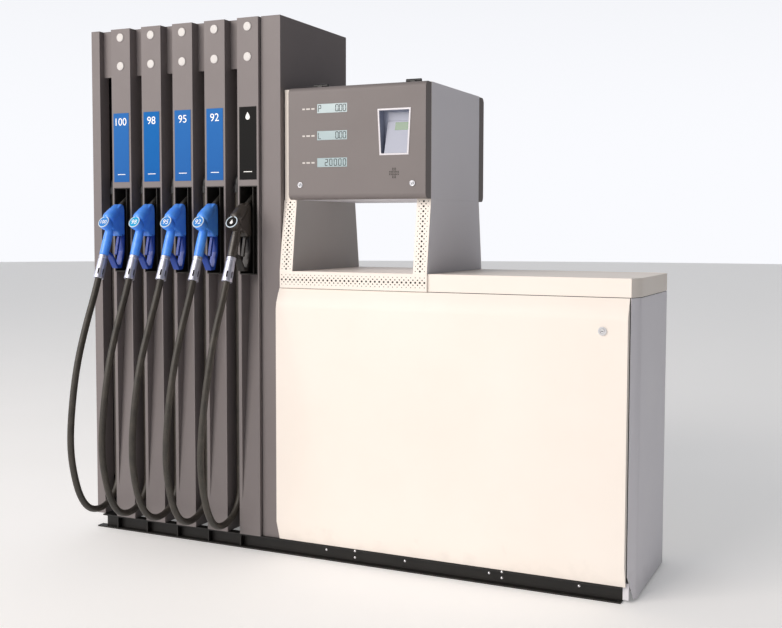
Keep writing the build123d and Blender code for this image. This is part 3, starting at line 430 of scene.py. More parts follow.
def new_piece(name, bm, materials, body, smooth=SMOOTH_ANGLE):
    """Closes a bmesh into a finished piece that rides on a body. Large faces keep their own shading."""
    mesh = bpy.data.meshes.new(name)
    bm.to_mesh(mesh)
    bm.free()
    for material in materials if isinstance(materials, list) else [materials]:
        mesh.materials.append(material)
    mesh.shade_smooth()
    mesh.set_sharp_from_angle(angle=math.radians(smooth))
    piece = bpy.data.objects.new(name, mesh)
    bpy.context.scene.collection.objects.link(piece)
    weight = piece.modifiers.new("flat_faces", "WEIGHTED_NORMAL")
    weight.weight = 100
    weight.keep_sharp = True
    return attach(piece, body)


def round_edges(bm, edges, radius_mm, segments=2):
    """Bevels the edges to a radius."""
    bmesh.ops.bevel(bm, geom=list(edges), offset=radius_mm * MM, offset_type="OFFSET", segments=segments,
                    profile=0.5, affect="EDGES", material=-1, clamp_overlap=True)


def add_block(bm, low, high, radius_mm=0.0):
    """Box between two corners in millimetres, with its edges rounded."""
    a, b = at(*low), at(*high)
    fit = Matrix.Translation((a + b) / 2) @ Matrix.Diagonal((*(b - a), 1.0))
    made = bmesh.ops.create_cube(bm, size=1.0, matrix=fit)
    if radius_mm:
        round_edges(bm, {e for v in made["verts"] for e in v.link_edges}, radius_mm)


def line_up(start, end):
    """Matrix that puts +Z along the line from start to end, with its origin at start."""
    a, b = Vector(start), Vector(end)
    return Matrix.Translation(a) @ (b - a).to_track_quat("Z", "Y").to_matrix().to_4x4()


def add_spun(bm, profile, start, end, steps=32, material=0):
    """Closed shape turned about the line from start to end, both in metres. The profile is (along, radius)
    in millimetres, and it begins and ends on the line."""
    before = set(bm.faces)
    verts = [bm.verts.new((radius * MM, 0.0, along * MM)) for along, radius in profile]
    edges = [bm.edges.new(pair) for pair in zip(verts, verts[1:])]
    bmesh.ops.spin(bm, geom=verts + edges, cent=(0, 0, 0), axis=(0, 0, 1), dvec=(0, 0, 0),
                   angle=math.tau, steps=steps, use_merge=True, use_duplicate=False)
    faces = [f for f in bm.faces if f not in before]
    verts = list({v for f in faces for v in f.verts})
    bmesh.ops.remove_doubles(bm, verts=verts, dist=WELD)
    faces = [f for f in bm.faces if f not in before]
    bmesh.ops.recalc_face_normals(bm, faces=faces)
    for face in faces:
        face.material_index = material
    verts = list({v for f in faces for v in f.verts})
    bmesh.ops.transform(bm, matrix=line_up(start, end), verts=verts)
    return faces


def add_prism(bm, outline, pull, radius_mm, segments=2):
    """An outline of points, pulled by a vector in millimetres, with every edge rounded."""
    before = set(bm.faces)
    face = bm.faces.new([bm.verts.new(at(*p)) for p in outline])
    made = bmesh.ops.extrude_face_region(bm, geom=[face])["geom"]
    moved = [v for v in made if isinstance(v, bmesh.types.BMVert)]
    bmesh.ops.translate(bm, verts=moved, vec=Vector(pull) * MM)
    faces = [f for f in bm.faces if f not in before]
    bmesh.ops.recalc_face_normals(bm, faces=faces)
    round_edges(bm, {e for f in faces for e in f.edges}, radius_mm, segments)


def side_prism(bm, outline, x0, x1, radius_mm, segments):
    """An outline of (y, z) points, pulled along X."""
    add_prism(bm, [(x0, y, z) for y, z in outline], (x1 - x0, 0, 0), radius_mm, segments)


FLAT_ANGLE = 0.5            # degrees; triangles that meet flatter than this are one face
FOLD_ANGLE = 30.0           # degrees; sharper edges are rounded


def softened(node, material, radius_mm=0.8):
    """A CAD node's own shape with its sheet edges rounded, as folded and deburred steel has them."""
    source = frame["nodes"][node]
    bm = bmesh.new()
    bm.from_mesh(source.data)
    bmesh.ops.remove_doubles(bm, verts=bm.verts, dist=WELD)
    bmesh.ops.dissolve_limit(bm, angle_limit=math.radians(FLAT_ANGLE), verts=bm.verts, edges=bm.edges)
    fold = math.radians(FOLD_ANGLE)
    sharp = [e for e in bm.edges if len(e.link_faces) == 2 and e.calc_face_angle(0) > fold]
    round_edges(bm, sharp, radius_mm)
    piece = new_piece(f"{node}_softened", bm, material, source["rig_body"])
    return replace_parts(piece, node)


def paint_faces(piece, material, chosen):
    """Gives the chosen faces of a piece a second finish; chosen takes a face's middle and its normal."""
    piece.data.materials.append(material)
    for face in piece.data.polygons:
        if chosen(face.center, face.normal):
            face.material_index = len(piece.data.materials) - 1


# ---------------------------------------------------------------- hoses
# Places are (y, z) in the column's middle plane, or (x, y, z) with x from that plane.
HOSE_D = 28.0
SWIVEL_END = (-178.0, 1127.0)
GRIP_END = (-142.0, 1224.0)
HOSE_LEAVES = 70.0          # straight out of the swivel before it bends
BELLY = [(-3, -258, 930), (-12, -305, 770), (-26, -322, 600), (-42, -318, 450),
         (-56, -290, 330), (-70, -232, 190), (-79, -150, 112)]
HOSE_LEAN = (0.0, 4.0, -5.0, 3.0, 10.0)     # each hose hangs a little further back or forward
HOSE_FOOT = 112.0           # the hose's lowest turn, into the gap beside its column
HOSE_TURN = 76.0
HOSE_RISE_Y = 34.0
HOSE_RISE_X = -80.5
HOSE_STRAIGHT_Z = 295.5     # from here up the hose hangs straight
OUTLET_Z = 1490.0


def toward(start, end, distance):
    """The point this far from start on the line to end."""
    along = [q - p for p, q in zip(start, end)]
    length = math.hypot(*along)
    return tuple(p + a * distance / length for p, a in zip(start, along))


def hose_route(k):
    """Points from the swivel, down the hanging loop and up behind the column to the outlet."""
    middle = column_middle(k)
    straight = toward(GRIP_END, SWIVEL_END, math.dist(GRIP_END, SWIVEL_END) + HOSE_LEAVES)
    route = [(middle, *SWIVEL_END), (middle, *straight)]
    for i, (dx, y, z) in enumerate(BELLY):
        lean = HOSE_LEAN[k] if 0 < i < len(BELLY) - 1 else 0.0
        route.append((middle + dx, y + lean, z))
    rise = middle + HOSE_RISE_X
    return route + [(rise, HOSE_RISE_Y - HOSE_TURN, HOSE_FOOT), (rise, HOSE_RISE_Y, HOSE_FOOT + HOSE_TURN),
                    (rise, HOSE_RISE_Y, HOSE_STRAIGHT_Z), (rise, HOSE_RISE_Y, OUTLET_Z)]


def hose_curve(points, radius):
    """Smooth curve drawn by the points, as a tube of this radius in metres."""
    data = bpy.data.curves.new("hose_line", "CURVE")
    data.dimensions = "3D"
    data.resolution_u = 16
    data.bevel_depth = radius
    data.bevel_resolution = 6
    data.use_fill_caps = True
    spline = data.splines.new("NURBS")
    spline.points.add(len(points) - 1)
    for point, place in zip(spline.points, points):
        point.co = (*at(*place), 1.0)
    spline.order_u = 3
    spline.use_endpoint_u = True
    return bpy.data.objects.new("hose_line", data)


def mesh_of(curve):
    """A curve's mesh, with the curve itself removed."""
    mesh = bpy.data.meshes.new_from_object(curve)
    bpy.data.objects.remove(curve)
    return mesh


def make_hose(k):
    """One hose, bending between the tower and its nozzle."""
    points = hose_route(k)
    line = mesh_of(hose_curve(points, 0.0))
    mesh = mesh_of(hose_curve(points, HOSE_D / 2 * MM))
    mesh.materials.clear()
    mesh.materials.append(RUBBER)
    mesh.shade_smooth()
    name = f"hose_{k + 1}_rubber"
    mesh.name = name
    piece = bpy.data.objects.new(name, mesh)
    bpy.context.scene.collection.objects.link(piece)
    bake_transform(piece)
    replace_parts(piece, f"hose_{k + 1}")


# ---------------------------------------------------------------- nozzles
# Outlines and places are (y, z) in the column's middle plane.
GRIP_TOP = (-103.7, 1327.2)
BARREL_END = (-122.0, 1372.0)
SPOUT_START = (-58.0, 1418.0)
SPOUT_TIP = (52.0, 1490.0)
LEVER_PIN = (-44.0, 1310.0)
CASTING = [(-92, 1404), (-64, 1434), (-46, 1444), (-32, 1438), (-27, 1418), (-27, 1312), (-34, 1306),
           (-62, 1306), (-72, 1322), (-96, 1332), (-118, 1346)]
GUARD = [(-20, 1340), (-20, 1238), (-42, 1168), (-70, 1166), (-100, 1214), (-124, 1228), (-124, 1242),
         (-96, 1227), (-66, 1180), (-50, 1180), (-30, 1240), (-30, 1340)]
LEVER = [(-50, 1318), (-38, 1318), (-38, 1300), (-50, 1250), (-56, 1224), (-66, 1226), (-60, 1256),
         (-49, 1300)]
BARREL = [(0, 0), (1, 14), (6, 22), (14, 26), (24, 27), (54, 26), (78, 23), (94, 18), (101, 10), (103, 0)]
GRIP = [(0, 0), (0, 17), (1.5, 18.5), (14, 19), (50, 19.5), (90, 19), (118, 17), (124, 0)]
BADGE_AT = (-139.0, 1366.0)
BADGE_BACK = (-96.0, 1340.6)    # the badge faces out and a little up
BOSS = [(0, 0), (0, 25.5), (1.5, 27), (16, 27), (34, 24), (44, 16), (48, 0)]
COVER_HALF, GUARD_HALF, LEVER_HALF = 22.0, 15.0, 7.0       # half of each one's width
PIN_HALF = 23.0
PIN = [(0, 0), (0, 2.5), (0.5, 3), (45.5, 3), (46, 2.5), (46, 0)]
SPOUT_R, SPOUT_BORE_R, SPOUT_BORE = 11.0, 9.2, 40.0
COLLAR_R, COLLAR_END = 13.0, 24.0           # where the spout enters the casting
VOXEL = 0.0016              # metres; the fused cover's grid
SMOOTH_PASSES = 12
BADGE_R = 26.5
BADGE_RIM = [(2, 0), (2, BADGE_R - 1), (-0.4, BADGE_R), (-1.8, BADGE_R), (-2.4, BADGE_R - 0.8),
             (-2.4, BADGE_R - 3.2), (-1.6, BADGE_R - 4), (2, BADGE_R - 4.2)]
BADGE_DISC = [(2, 0), (2, BADGE_R - 4), (-1.7, BADGE_R - 4), (-1.7, 0)]
BADGE_MARK, BADGE_MARK_LONG = 21.0, 17.0    # figures' height; the three-figure number is smaller
FIGURE_RATIO = 0.7          # a figure's height over the font's size


def in_plane(point, x=0.0):
    """A (y, z) point in the plane at x."""
    return at(x, *point)


def cover_mesh():
    """Soft cover over casting, barrel, grip and badge: the shapes are fused and smoothed into one skin."""
    bm = bmesh.new()
    side_prism(bm, CASTING, -COVER_HALF, COVER_HALF, 7.0, 3)
    add_spun(bm, BARREL, in_plane(BARREL_END), in_plane(SPOUT_START))
    add_spun(bm, GRIP, in_plane(GRIP_END), in_plane(GRIP_TOP))
    add_spun(bm, BOSS, in_plane(BADGE_AT), in_plane(BADGE_BACK))
    mesh = bpy.data.meshes.new("cover_blank")
    bm.to_mesh(mesh)
    bm.free()
    blank = bpy.data.objects.new("cover_blank", mesh)
    bpy.context.scene.collection.objects.link(blank)
    fuse = blank.modifiers.new("fuse", "REMESH")
    fuse.mode = "VOXEL"
    fuse.voxel_size = VOXEL
    soften = blank.modifiers.new("soften", "SMOOTH")
    soften.factor = 0.5
    soften.iterations = SMOOTH_PASSES
    bpy.context.view_layer.update()
    fused = bpy.data.meshes.new_from_object(blank.evaluated_get(bpy.context.evaluated_depsgraph_get()))
    bpy.data.objects.remove(blank)
    fused.shade_smooth()
    return fused


COVER = cover_mesh()


def facing(origin, normal, up):
    """Matrix that lays a flat thing's +Z along normal and its +Y along up."""
    z, y = Vector(normal).normalized(), Vector(up).normalized()
    x = y.cross(z).normalized()
    turn = Matrix((x, z.cross(x), z)).transposed().to_4x4()
    return Matrix.Translation(origin) @ turn


def add_digits(bm, digits, height_mm, thick_mm, matrix, material):
    """Solid figures about their own middle, placed by the matrix."""
    before = set(bm.faces)
    data = bpy.data.curves.new("digits", "FONT")
    data.body = digits
    data.size = height_mm * MM / FIGURE_RATIO
    data.align_x, data.align_y = "CENTER", "CENTER"
    data.extrude = thick_mm / 2 * MM
    mesh = mesh_of(bpy.data.objects.new("digits", data))
    across = [v.co.x for v in mesh.vertices]
    up = [v.co.y for v in mesh.vertices]
    middle = Vector((min(across) + max(across), min(up) + max(up), 0)) / 2
    mesh.transform(matrix @ Matrix.Translation(-middle))
    bm.from_mesh(mesh)
    for face in bm.faces:
        if face not in before:
            face.material_index = material


DROP_WIDTH = 0.64           # of its height


def add_drop(bm, height_mm, thick_mm, matrix, material):
    """A plain fuel drop: half a circle below and a point above."""
    radius = height_mm * DROP_WIDTH / 2
    foot = -height_mm / 2 + radius
    arc = [math.radians(a) for a in range(-200, 21, 20)]
    outline = [(radius * math.cos(a), foot + radius * math.sin(a)) for a in arc] + [(0.0, height_mm / 2)]
    before = set(bm.faces)
    face = bm.faces.new([bm.verts.new((x * MM, y * MM, -thick_mm / 2 * MM)) for x, y in outline])
    made = bmesh.ops.extrude_face_region(bm, geom=[face])["geom"]
    bmesh.ops.translate(bm, verts=[v for v in made if isinstance(v, bmesh.types.BMVert)],
                        vec=(0, 0, thick_mm * MM))
    faces = [f for f in bm.faces if f not in before]
    bmesh.ops.recalc_face_normals(bm, faces=faces)
    for made_face in faces:
        made_face.material_index = material
    bmesh.ops.transform(bm, matrix=matrix, verts=list({v for f in faces for v in f.verts}))


def add_mark(bm, k, height_mm, thick_mm, matrix, material):
    """A hose's own mark: its grade's number, or a drop on the black one."""
    if k == BLACK_HOSE:
        add_drop(bm, height_mm, thick_mm, matrix, material)
    else:
        add_digits(bm, GRADES[k][0], height_mm, thick_mm, matrix, material)


def make_nozzle(k):
    """Cover, guard, trigger, spout and badge of one nozzle."""
    n, x = k + 1, column_middle(k)
    body = f"nozzle_{n}"
    black = k == BLACK_HOSE
    cover_finish, guard_finish = (BLACK_COVER, BLACK_GUARD) if black else (BLUE_COVER, BLUE_GUARD)

    cover = bpy.data.objects.new(f"nozzle_{n}_cover", COVER.copy())
    cover.data.name = cover.name
    cover.data.transform(Matrix.Translation((x * MM, 0, 0)))
    cover.data.materials.append(cover_finish)
    bpy.context.scene.collection.objects.link(cover)
    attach(cover, body)
    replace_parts(cover, f"nozzle_{n}_body")

    bm = bmesh.new()
    side_prism(bm, GUARD, x - GUARD_HALF, x + GUARD_HALF, 2.5, 3)
    new_piece(f"nozzle_{n}_guard", bm, guard_finish, body)

    bm = bmesh.new()
    side_prism(bm, LEVER, x - LEVER_HALF, x + LEVER_HALF, 2.0, 2)
    add_spun(bm, PIN, in_plane(LEVER_PIN, x - PIN_HALF), in_plane(LEVER_PIN, x + PIN_HALF), 16)
    lever = new_piece(f"nozzle_{n}_trigger", bm, guard_finish, f"lever_{n}")
    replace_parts(lever, f"nozzle_{n}_lever")

    length = math.dist(SPOUT_START, SPOUT_TIP)
    bore = length - SPOUT_BORE
    bm = bmesh.new()
    add_spun(bm, [(0, 0), (0, COLLAR_R), (COLLAR_END - 2, COLLAR_R), (COLLAR_END, SPOUT_R),
                  (length - 1, SPOUT_R), (length, SPOUT_R - 0.8), (length, SPOUT_BORE_R),
                  (bore, SPOUT_BORE_R), (bore, 0)], in_plane(SPOUT_START, x), in_plane(SPOUT_TIP, x))
    spout = new_piece(f"nozzle_{n}_spout_tube", bm, SPOUT_TUBE, body)
    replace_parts(spout, f"nozzle_{n}_spout")

    front, back = in_plane(BADGE_AT, x), in_plane(BADGE_BACK, x)
    bm = bmesh.new()
    add_spun(bm, BADGE_RIM, front, back, 48)
    add_spun(bm, BADGE_DISC, front, back, 48, material=1)
    normal = (front - back).normalized()
    up = normal.cross(Vector((1, 0, 0)))
    matrix = facing(in_plane(toward(BADGE_AT, BADGE_BACK, -2.0), x), normal, up if up.z > 0 else -up)
    add_mark(bm, k, BADGE_MARK if len(GRADES[k][0]) < 3 else BADGE_MARK_LONG, 0.6, matrix, 2)
    new_piece(f"nozzle_{n}_badge", bm, [BADGE_RING, BADGE_FACES[k], WHITE_INK], body)


SLEEVE = [(0.3, 0), (0.3, 17.8), (1.5, 19), (13, 19.2), (14.5, 17.6), (17.5, 17.6), (19, 19.4), (50, 19.9),
          (62, 20.4), (70, 20.8), (88, 21.3), (94, 21.8), (99, 22.2), (102.4, 21.8),
          (103.3, 20.4), (103.3, 0)]
SLOT_ROW = (62, 88)         # millimetres along the sleeve
SLEEVE_STEPS = 36
SLOTS_ROUND = 6
SLOT_DEPTH = 3.0


def make_swivel(k):
    """Sleeve between a hose and its grip, with a row of slots round it, sunk and painted black as shade."""
    n, x = k + 1, column_middle(k)
    start, end = in_plane(GRIP_END, x), in_plane(SWIVEL_END, x)
    bm = bmesh.new()
    faces = add_spun(bm, SLEEVE, start, end, SLEEVE_STEPS)
    to_local = line_up(start, end).inverted()
    chosen = []
    for face in faces:
        middle = to_local @ face.calc_center_median()
        around = math.degrees(math.atan2(middle.y, middle.x)) % (360 / SLOTS_ROUND)
        if SLOT_ROW[0] * MM < middle.z < SLOT_ROW[1] * MM and around < 2 * 360 / SLEEVE_STEPS:
            chosen.append(face)
    sunk = bmesh.ops.extrude_face_region(bm, geom=chosen)["geom"]
    sunk_faces = [f for f in sunk if isinstance(f, bmesh.types.BMFace)]
    bmesh.ops.delete(bm, geom=chosen, context="FACES_ONLY")
    axis = (end - start).normalized()
    for vert in {v for f in sunk_faces for v in f.verts}:
        out = vert.co - start
        out -= axis * out.dot(axis)
        vert.co -= out.normalized() * SLOT_DEPTH * MM
    for face in sunk_faces:
        face.material_index = 1
    piece = new_piece(f"swivel_{n}_sleeve", bm, [BRIGHT_PLATE, SLOT_PAINTED_SHADE], f"hose_swivel_{n}",
                      30)
    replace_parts(piece, f"swivel_{n}")


# ---------------------------------------------------------------- tower details
LABEL_HALF = 41.0
LABEL_Z = (1540.0, 1837.0)
LABEL_FACE = -1.5           # proud of the column's face
LABEL_MARK_Z, LABEL_MARK = 1800.0, 32.0
LINE_Z, LINE_W, LINE_H = 1572.5, 40.0, 3.0
CAP_HEIGHTS = (2039.0, 2161.0)
CAP_R = 18.0
CAP = [(0, 0), (0, CAP_R), (2.2, CAP_R), (3.4, CAP_R - 0.9), (3.8, CAP_R - 2.5), (4.0, CAP_R - 8), (4.0, 0)]


def add_bar(bm, x, y, z, along_x, along_z, depth=0.5, material=0):
    """Thin flat bar about x and z, standing out from the face at y."""
    before = set(bm.faces)
    add_block(bm, (x - along_x / 2, y - depth, z - along_z / 2), (x + along_x / 2, y, z + along_z / 2))
    for face in bm.faces:
        if face not in before:
            face.material_index = material


def make_label(k):
    """Grade plate with its number or drop near the top and a plain line near the foot."""
    x, front = column_middle(k), COLUMN_FACE + LABEL_FACE
    film = label_film(f"grade_film_{k + 1}", *GRADES[k][1:])
    bm = bmesh.new()
    add_block(bm, (x - LABEL_HALF, front, LABEL_Z[0]), (x + LABEL_HALF, COLUMN_FACE, LABEL_Z[1]), 0.6)
    face = front - 0.1
    add_mark(bm, k, LABEL_MARK, 0.5, facing(at(x, face, LABEL_MARK_Z), (0, -1, 0), (0, 0, 1)), 1)
    add_bar(bm, x, face + 0.2, LINE_Z, LINE_W, LINE_H, 0.4, 1)
    piece = new_piece(f"grade_plate_{k + 1}", bm, [film, WHITE_INK], "root")
    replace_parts(piece, "grade_labels")


def make_caps():
    """Slightly domed plastic caps over the columns' screws."""
    bm = bmesh.new()
    for k in range(HOSES):
        for z in CAP_HEIGHTS:
            x = column_middle(k)
            add_spun(bm, CAP, at(x, COLUMN_FACE, z), at(x, COLUMN_FACE - 1, z), 40)
    piece = new_piece("column_caps_domed", bm, CAP_PLASTIC, "root")
    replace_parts(piece, "column_caps")


# ---------------------------------------------------------------- head details
# A figure's seven bars: place across and up it, and whether the bar is upright.
SEGMENTS = {"a": (0.5, 1.0, 0), "b": (1.0, 0.75, 1), "c": (1.0, 0.25, 1), "d": (0.5, 0.0, 0),
            "e": (0.0, 0.25, 1), "f": (0.0, 0.75, 1), "g": (0.5, 0.5, 0)}
LIT = {"0": "abcdef", "2": "abged", "P": "abefg", "L": "def"}
DIGIT_W, DIGIT_H, DIGIT_STROKE = 11.0, 25.0, 2.8
DISPLAY_W, DISPLAY_H = 133.0, 36.0
DISPLAY_X0, DISPLAY_TOPS = 1146.5, (1831.0, 1725.0, 1619.0)
DISPLAY_ROWS = (("P", "0.00", 16.5), ("L", "0.00", 16.5), ("", "200.00", 20.0))    # sign, digits, pitch
DISPLAY_EDGE = 6.0          # from a window's end to its figures
POINT = 2.6
COVER_FACE = -28.0          # the head's front cover
CAPTION_X = 1108.0
CAPTION_BARS = ((-22, 12), (-2, 16), (20, 14))      # short bars in place of words: place and length
READER_FOOT, READER_CREST = 11.0, 45.0      # the recess's slope starts and ends this far from the ends
READER_SLOPE_Y = (3.0, 36.0)                # and runs between these depths behind the cover's face
SCREEN_X = (1473.0, 1537.0)
SCREEN_DROP, SCREEN_H = 6.0, 32.0
SPEAKER_AT, SPEAKER_PITCH, SPEAKER_HOLE_R = (1482.6, 1554.0), 6.0, 2.2


def add_sign(bm, sign, x, y, z):
    """One seven-segment figure, from its lower left corner."""
    for name in LIT[sign]:
        fx, fz, upright = SEGMENTS[name]
        size = (DIGIT_STROKE, DIGIT_H / 2 - 1.2) if upright else (DIGIT_W - 1.0, DIGIT_STROKE)
        add_bar(bm, x + fx * DIGIT_W, y, z + fz * DIGIT_H, *size)


def make_displays():
    """Dark figures on the three windows: a sign at the left, and digits set to the right."""
    face = node_box("display_windows")[0].y
    bm = bmesh.new()
    for (sign, digits, pitch), top in zip(DISPLAY_ROWS, DISPLAY_TOPS):
        z = top - DISPLAY_H / 2 - DIGIT_H / 2
        if sign:
            add_sign(bm, sign, DISPLAY_X0 + DISPLAY_EDGE, face, z)
        x = DISPLAY_X0 + DISPLAY_W - DISPLAY_EDGE - DIGIT_W
        for digit in reversed(digits):
            if digit == ".":
                add_bar(bm, x + pitch - POINT, face, z + 1.0, POINT, POINT)
            else:
                add_sign(bm, digit, x, face, z)
                x -= pitch
    new_piece("display_digits", bm, DARK_INK, "head_cover")


def make_display_marks():
    """Plain printed bars beside each window, where such a head has its captions."""
    bm = bmesh.new()
    for top in DISPLAY_TOPS:
        for dx, length in CAPTION_BARS:
            add_bar(bm, CAPTION_X + dx, COVER_FACE, top - DISPLAY_H / 2, length, 6.0, 0.25)
    new_piece("display_marks", bm, CAPTION_INK, "head_cover")


def make_reader_screen():
    """Grey-green screen near the top of the reader's sloping face."""
    low, high = node_box("card_reader")
    start, crest = low.z + READER_FOOT, high.z - READER_CREST
    front, back = (COVER_FACE + depth for depth in READER_SLOPE_Y)
    slope = Vector((0, back - front, crest - start)).normalized()
    out = Vector((0, -slope.z, slope.y))
    top = Vector((0, back, crest)) - slope * SCREEN_DROP + out * 0.6
    foot = top - slope * SCREEN_H
    left, right = SCREEN_X
    bm = bmesh.new()
    outline = [(x, p.y, p.z) for x, p in ((left, foot), (right, foot), (right, top), (left, top))]
    add_prism(bm, outline, -out * 1.4, 0.3)
    new_piece("reader_screen", bm, GREEN_PANE, "head_cover")


def make_speaker():
    """Cross of small dark discs in front of the speaker: painted shade standing for its holes."""
    bm = bmesh.new()
    hole = [(0, 0), (0, SPEAKER_HOLE_R), (0.3, SPEAKER_HOLE_R), (0.3, 0)]
    for i in range(-3, 4):
        for j in range(-3, 4):
            if abs(i) <= 1 or abs(j) <= 1:
                x, z = SPEAKER_AT[0] + i * SPEAKER_PITCH, SPEAKER_AT[1] + j * SPEAKER_PITCH
                add_spun(bm, hole, at(x, COVER_FACE, z), at(x, COVER_FACE - 1, z), 10)
    new_piece("speaker_holes", bm, SPEAKER_PAINTED_SHADE, "head_cover")


# ---------------------------------------------------------------- perforated fascias
FASCIA_X = (964.0, 1614.0)
BAND_Z = (1100.0, 1168.0)
LEG_TOP_Z = 1456.0
LEG_W = 58.0
FASCIA_FOOT_Y, FASCIA_TOP_Y = -13.0, 26.0
DOT_PITCH = 19.0
# Each row: steps out from the middle, radius in mm, shift along the row.
DOT_ROWS = [(0, 4.2, 0.0), (1, 2.7, 0.5), (2, 1.9, 0.0), (3, 1.3, 0.5)]
DOT_STEP = 9.5
DOT_PROUD = 0.15
DOT_STEPS = 10
LEG_MARGIN, BAND_MARGIN = 4.0, 8.0          # no hole's middle is nearer to a leg's or the band's edge


def dot_row(start, end, across):
    """Holes along a line: one large row, and smaller ones that fade out on both sides of it."""
    along = Vector(end) - Vector(start)
    count = round(along.length / DOT_PITCH)
    for step, radius, shift in DOT_ROWS:
        for side in (-1, 1) if step else (0,):
            for i in range(count + (0 if shift else 1)):
                out = Vector(across) * side * step * DOT_STEP
                yield Vector(start) + along * ((i + shift) / count) + out, radius


def add_dot(bm, place, radius, normal):
    """Dark disc just proud of the sheet's face: painted shade standing for a punched hole."""
    face = place + Vector(normal) * DOT_PROUD
    disc = [(0, 0), (0, radius), (0.4, radius), (0.4, 0)]
    add_spun(bm, disc, at(*face), at(*(face - Vector(normal))), DOT_STEPS)


def make_perforation(front):
    """Dark discs of painted shade for the holes, along the band and up the two sloping legs, on the front
    fascia or its twin at the rear.
    """
    x0, x1 = FASCIA_X
    middle_z = sum(BAND_Z) / 2
    half = DOT_PITCH / 2
    slope = Vector((0, FASCIA_TOP_Y - FASCIA_FOOT_Y, LEG_TOP_Z - BAND_Z[1])).normalized()
    slant = Vector((0, -slope.z, slope.y))
    dots = [(place, radius, Vector((0, -1, 0))) for place, radius in
            dot_row((x0 + half, FASCIA_FOOT_Y, middle_z), (x1 - half, FASCIA_FOOT_Y, middle_z), (0, 0, 1))]
    for x in (x0 + LEG_W / 2, x1 - LEG_W / 2):
        foot = Vector((x, FASCIA_FOOT_Y, BAND_Z[1])) + slope * half
        top = Vector((x, FASCIA_TOP_Y, LEG_TOP_Z)) - slope * half
        dots += [(place, radius, slant) for place, radius in dot_row(foot, top, (1, 0, 0))
                 if abs(place.x - x) < LEG_W / 2 - LEG_MARGIN]
    bm = bmesh.new()
    for place, radius, normal in dots:
        if place.z < BAND_Z[0] + BAND_MARGIN or BAND_Z[1] - BAND_MARGIN < place.z < BAND_Z[1]:
            continue
        if not front:
            place = Vector((place.x, DEPTH - place.y, place.z))
            normal = Vector((normal.x, -normal.y, normal.z))
        add_dot(bm, place, radius, normal)
    name = "fascia_holes_front" if front else "fascia_holes_rear"
    new_piece(name, bm, HOLE_PAINTED_SHADE, "root")


# ---------------------------------------------------------------- screws, pumps and locks
SCREW_PLACES = [(1178.6, 44), (1308, 55), (1308, 29), (1527, 44), (1875.5, 45), (1926, 56), (1926, 33),
                (2222.5, 45)]
SCREW_HEAD = [(-3.0, 0), (-3.0, 2.6), (-2.2, 4.2), (-1.0, 5.2), (0, 5.4), (0, 0)]
BACK_EDGE, BACK_END, BACK_ROWS = 18.0, 30.0, 5      # back panel's screws, from its sides and its ends
PUMP_W = 170.0
PLATE_HALF, PLATE_Z, PLATE_THICK = 58.0, (25.0, 195.0), 5.0
BOLT_DX, BOLT_ROWS = 48.96, (40.0, 110.0, 180.0)
BOLT_HEAD = [(0, 0), (0, 7.5), (5, 7.5), (6, 6.5), (6, 0)]
DOME_AT = (60.0, 220.0)                     # behind the pump's front face and above its foot
FLANGE = [(0, 0), (0, 52), (6, 54), (10, 52), (10, 0)]
MOTOR_AXIS = 95.0                           # above the motors' foot
FIN_START, FIN_PITCH, FINS = 25.0, 22.0, 7
FIN = [(0, 0), (0, 79), (4, 79), (4, 0)]


def make_base_screws():
    """Pan-head screws in the front lips of the base channels."""
    low, _ = node_box("base_frame")
    bm = bmesh.new()
    for x, z in SCREW_PLACES:
        add_spun(bm, SCREW_HEAD, at(x, low.y, z), at(x, low.y + 1, z), 20)
    new_piece("base_screws", bm, CHROME, "root")


def make_back_screws():
    """Pan-head screws round the edge of the tower's back panel."""
    low, high = node_box("tower_back_panel")
    columns = (low.x + BACK_EDGE, (low.x + high.x) / 2, high.x - BACK_EDGE)
    rise = (high.z - low.z - 2 * BACK_END) / (BACK_ROWS - 1)
    rows = [low.z + BACK_END + i * rise for i in range(BACK_ROWS)]
    bm = bmesh.new()
    for x in columns:
        for z in rows:
            if x != columns[1] or z in (rows[0], rows[-1]):
                add_spun(bm, SCREW_HEAD, at(x, high.y, z), at(x, high.y - 1, z), 20)
    new_piece("back_panel_screws", bm, CHROME, "root")


def make_pump_fittings():
    """Cover plate with bolts on each pump, a flange ring on its dome, and fins on each motor."""
    low, high = node_box("pump_units")
    motors, _ = node_box("pump_motors")
    pitch = (high.x - low.x - PUMP_W) / (HOSES - 1)
    plates, fins = bmesh.new(), bmesh.new()
    for k in range(HOSES):
        x, front = low.x + PUMP_W / 2 + pitch * k, low.y - PLATE_THICK
        add_block(plates, (x - PLATE_HALF, front, low.z + PLATE_Z[0]),
                  (x + PLATE_HALF, low.y, low.z + PLATE_Z[1]), 2.0)
        for dx in (-BOLT_DX, BOLT_DX):
            for z in BOLT_ROWS:
                bolt = (x + dx, front, low.z + z)
                add_spun(plates, BOLT_HEAD, at(*bolt), at(bolt[0], front - 1, bolt[2]), 6)
        dome_y, top = low.y + DOME_AT[0], low.z + DOME_AT[1]
        add_spun(plates, FLANGE, at(x, dome_y, top), at(x, dome_y, top + 1), 40)
        for i in range(FINS):
            y, z = motors.y + FIN_START + i * FIN_PITCH, motors.z + MOTOR_AXIS
            add_spun(fins, FIN, at(x, y, z), at(x, y + 1, z), 40)
    new_piece("pump_plates", plates, PUMP_CASTING, "root")
    new_piece("motor_fins", fins, MOTOR_ENAMEL, "root")


LOCKS = {"front_door_lock": ("front_lock", 9.0), "rear_door_lock": ("rear_lock", 9.0),
         "head_lock_left": ("cover_lock_left", 6.0), "head_lock_right": ("cover_lock_right", 6.0)}
SLOT_NEAR, SLOT_FAR = 0.9, 1.4              # the key slot's bar, out from the lock's face


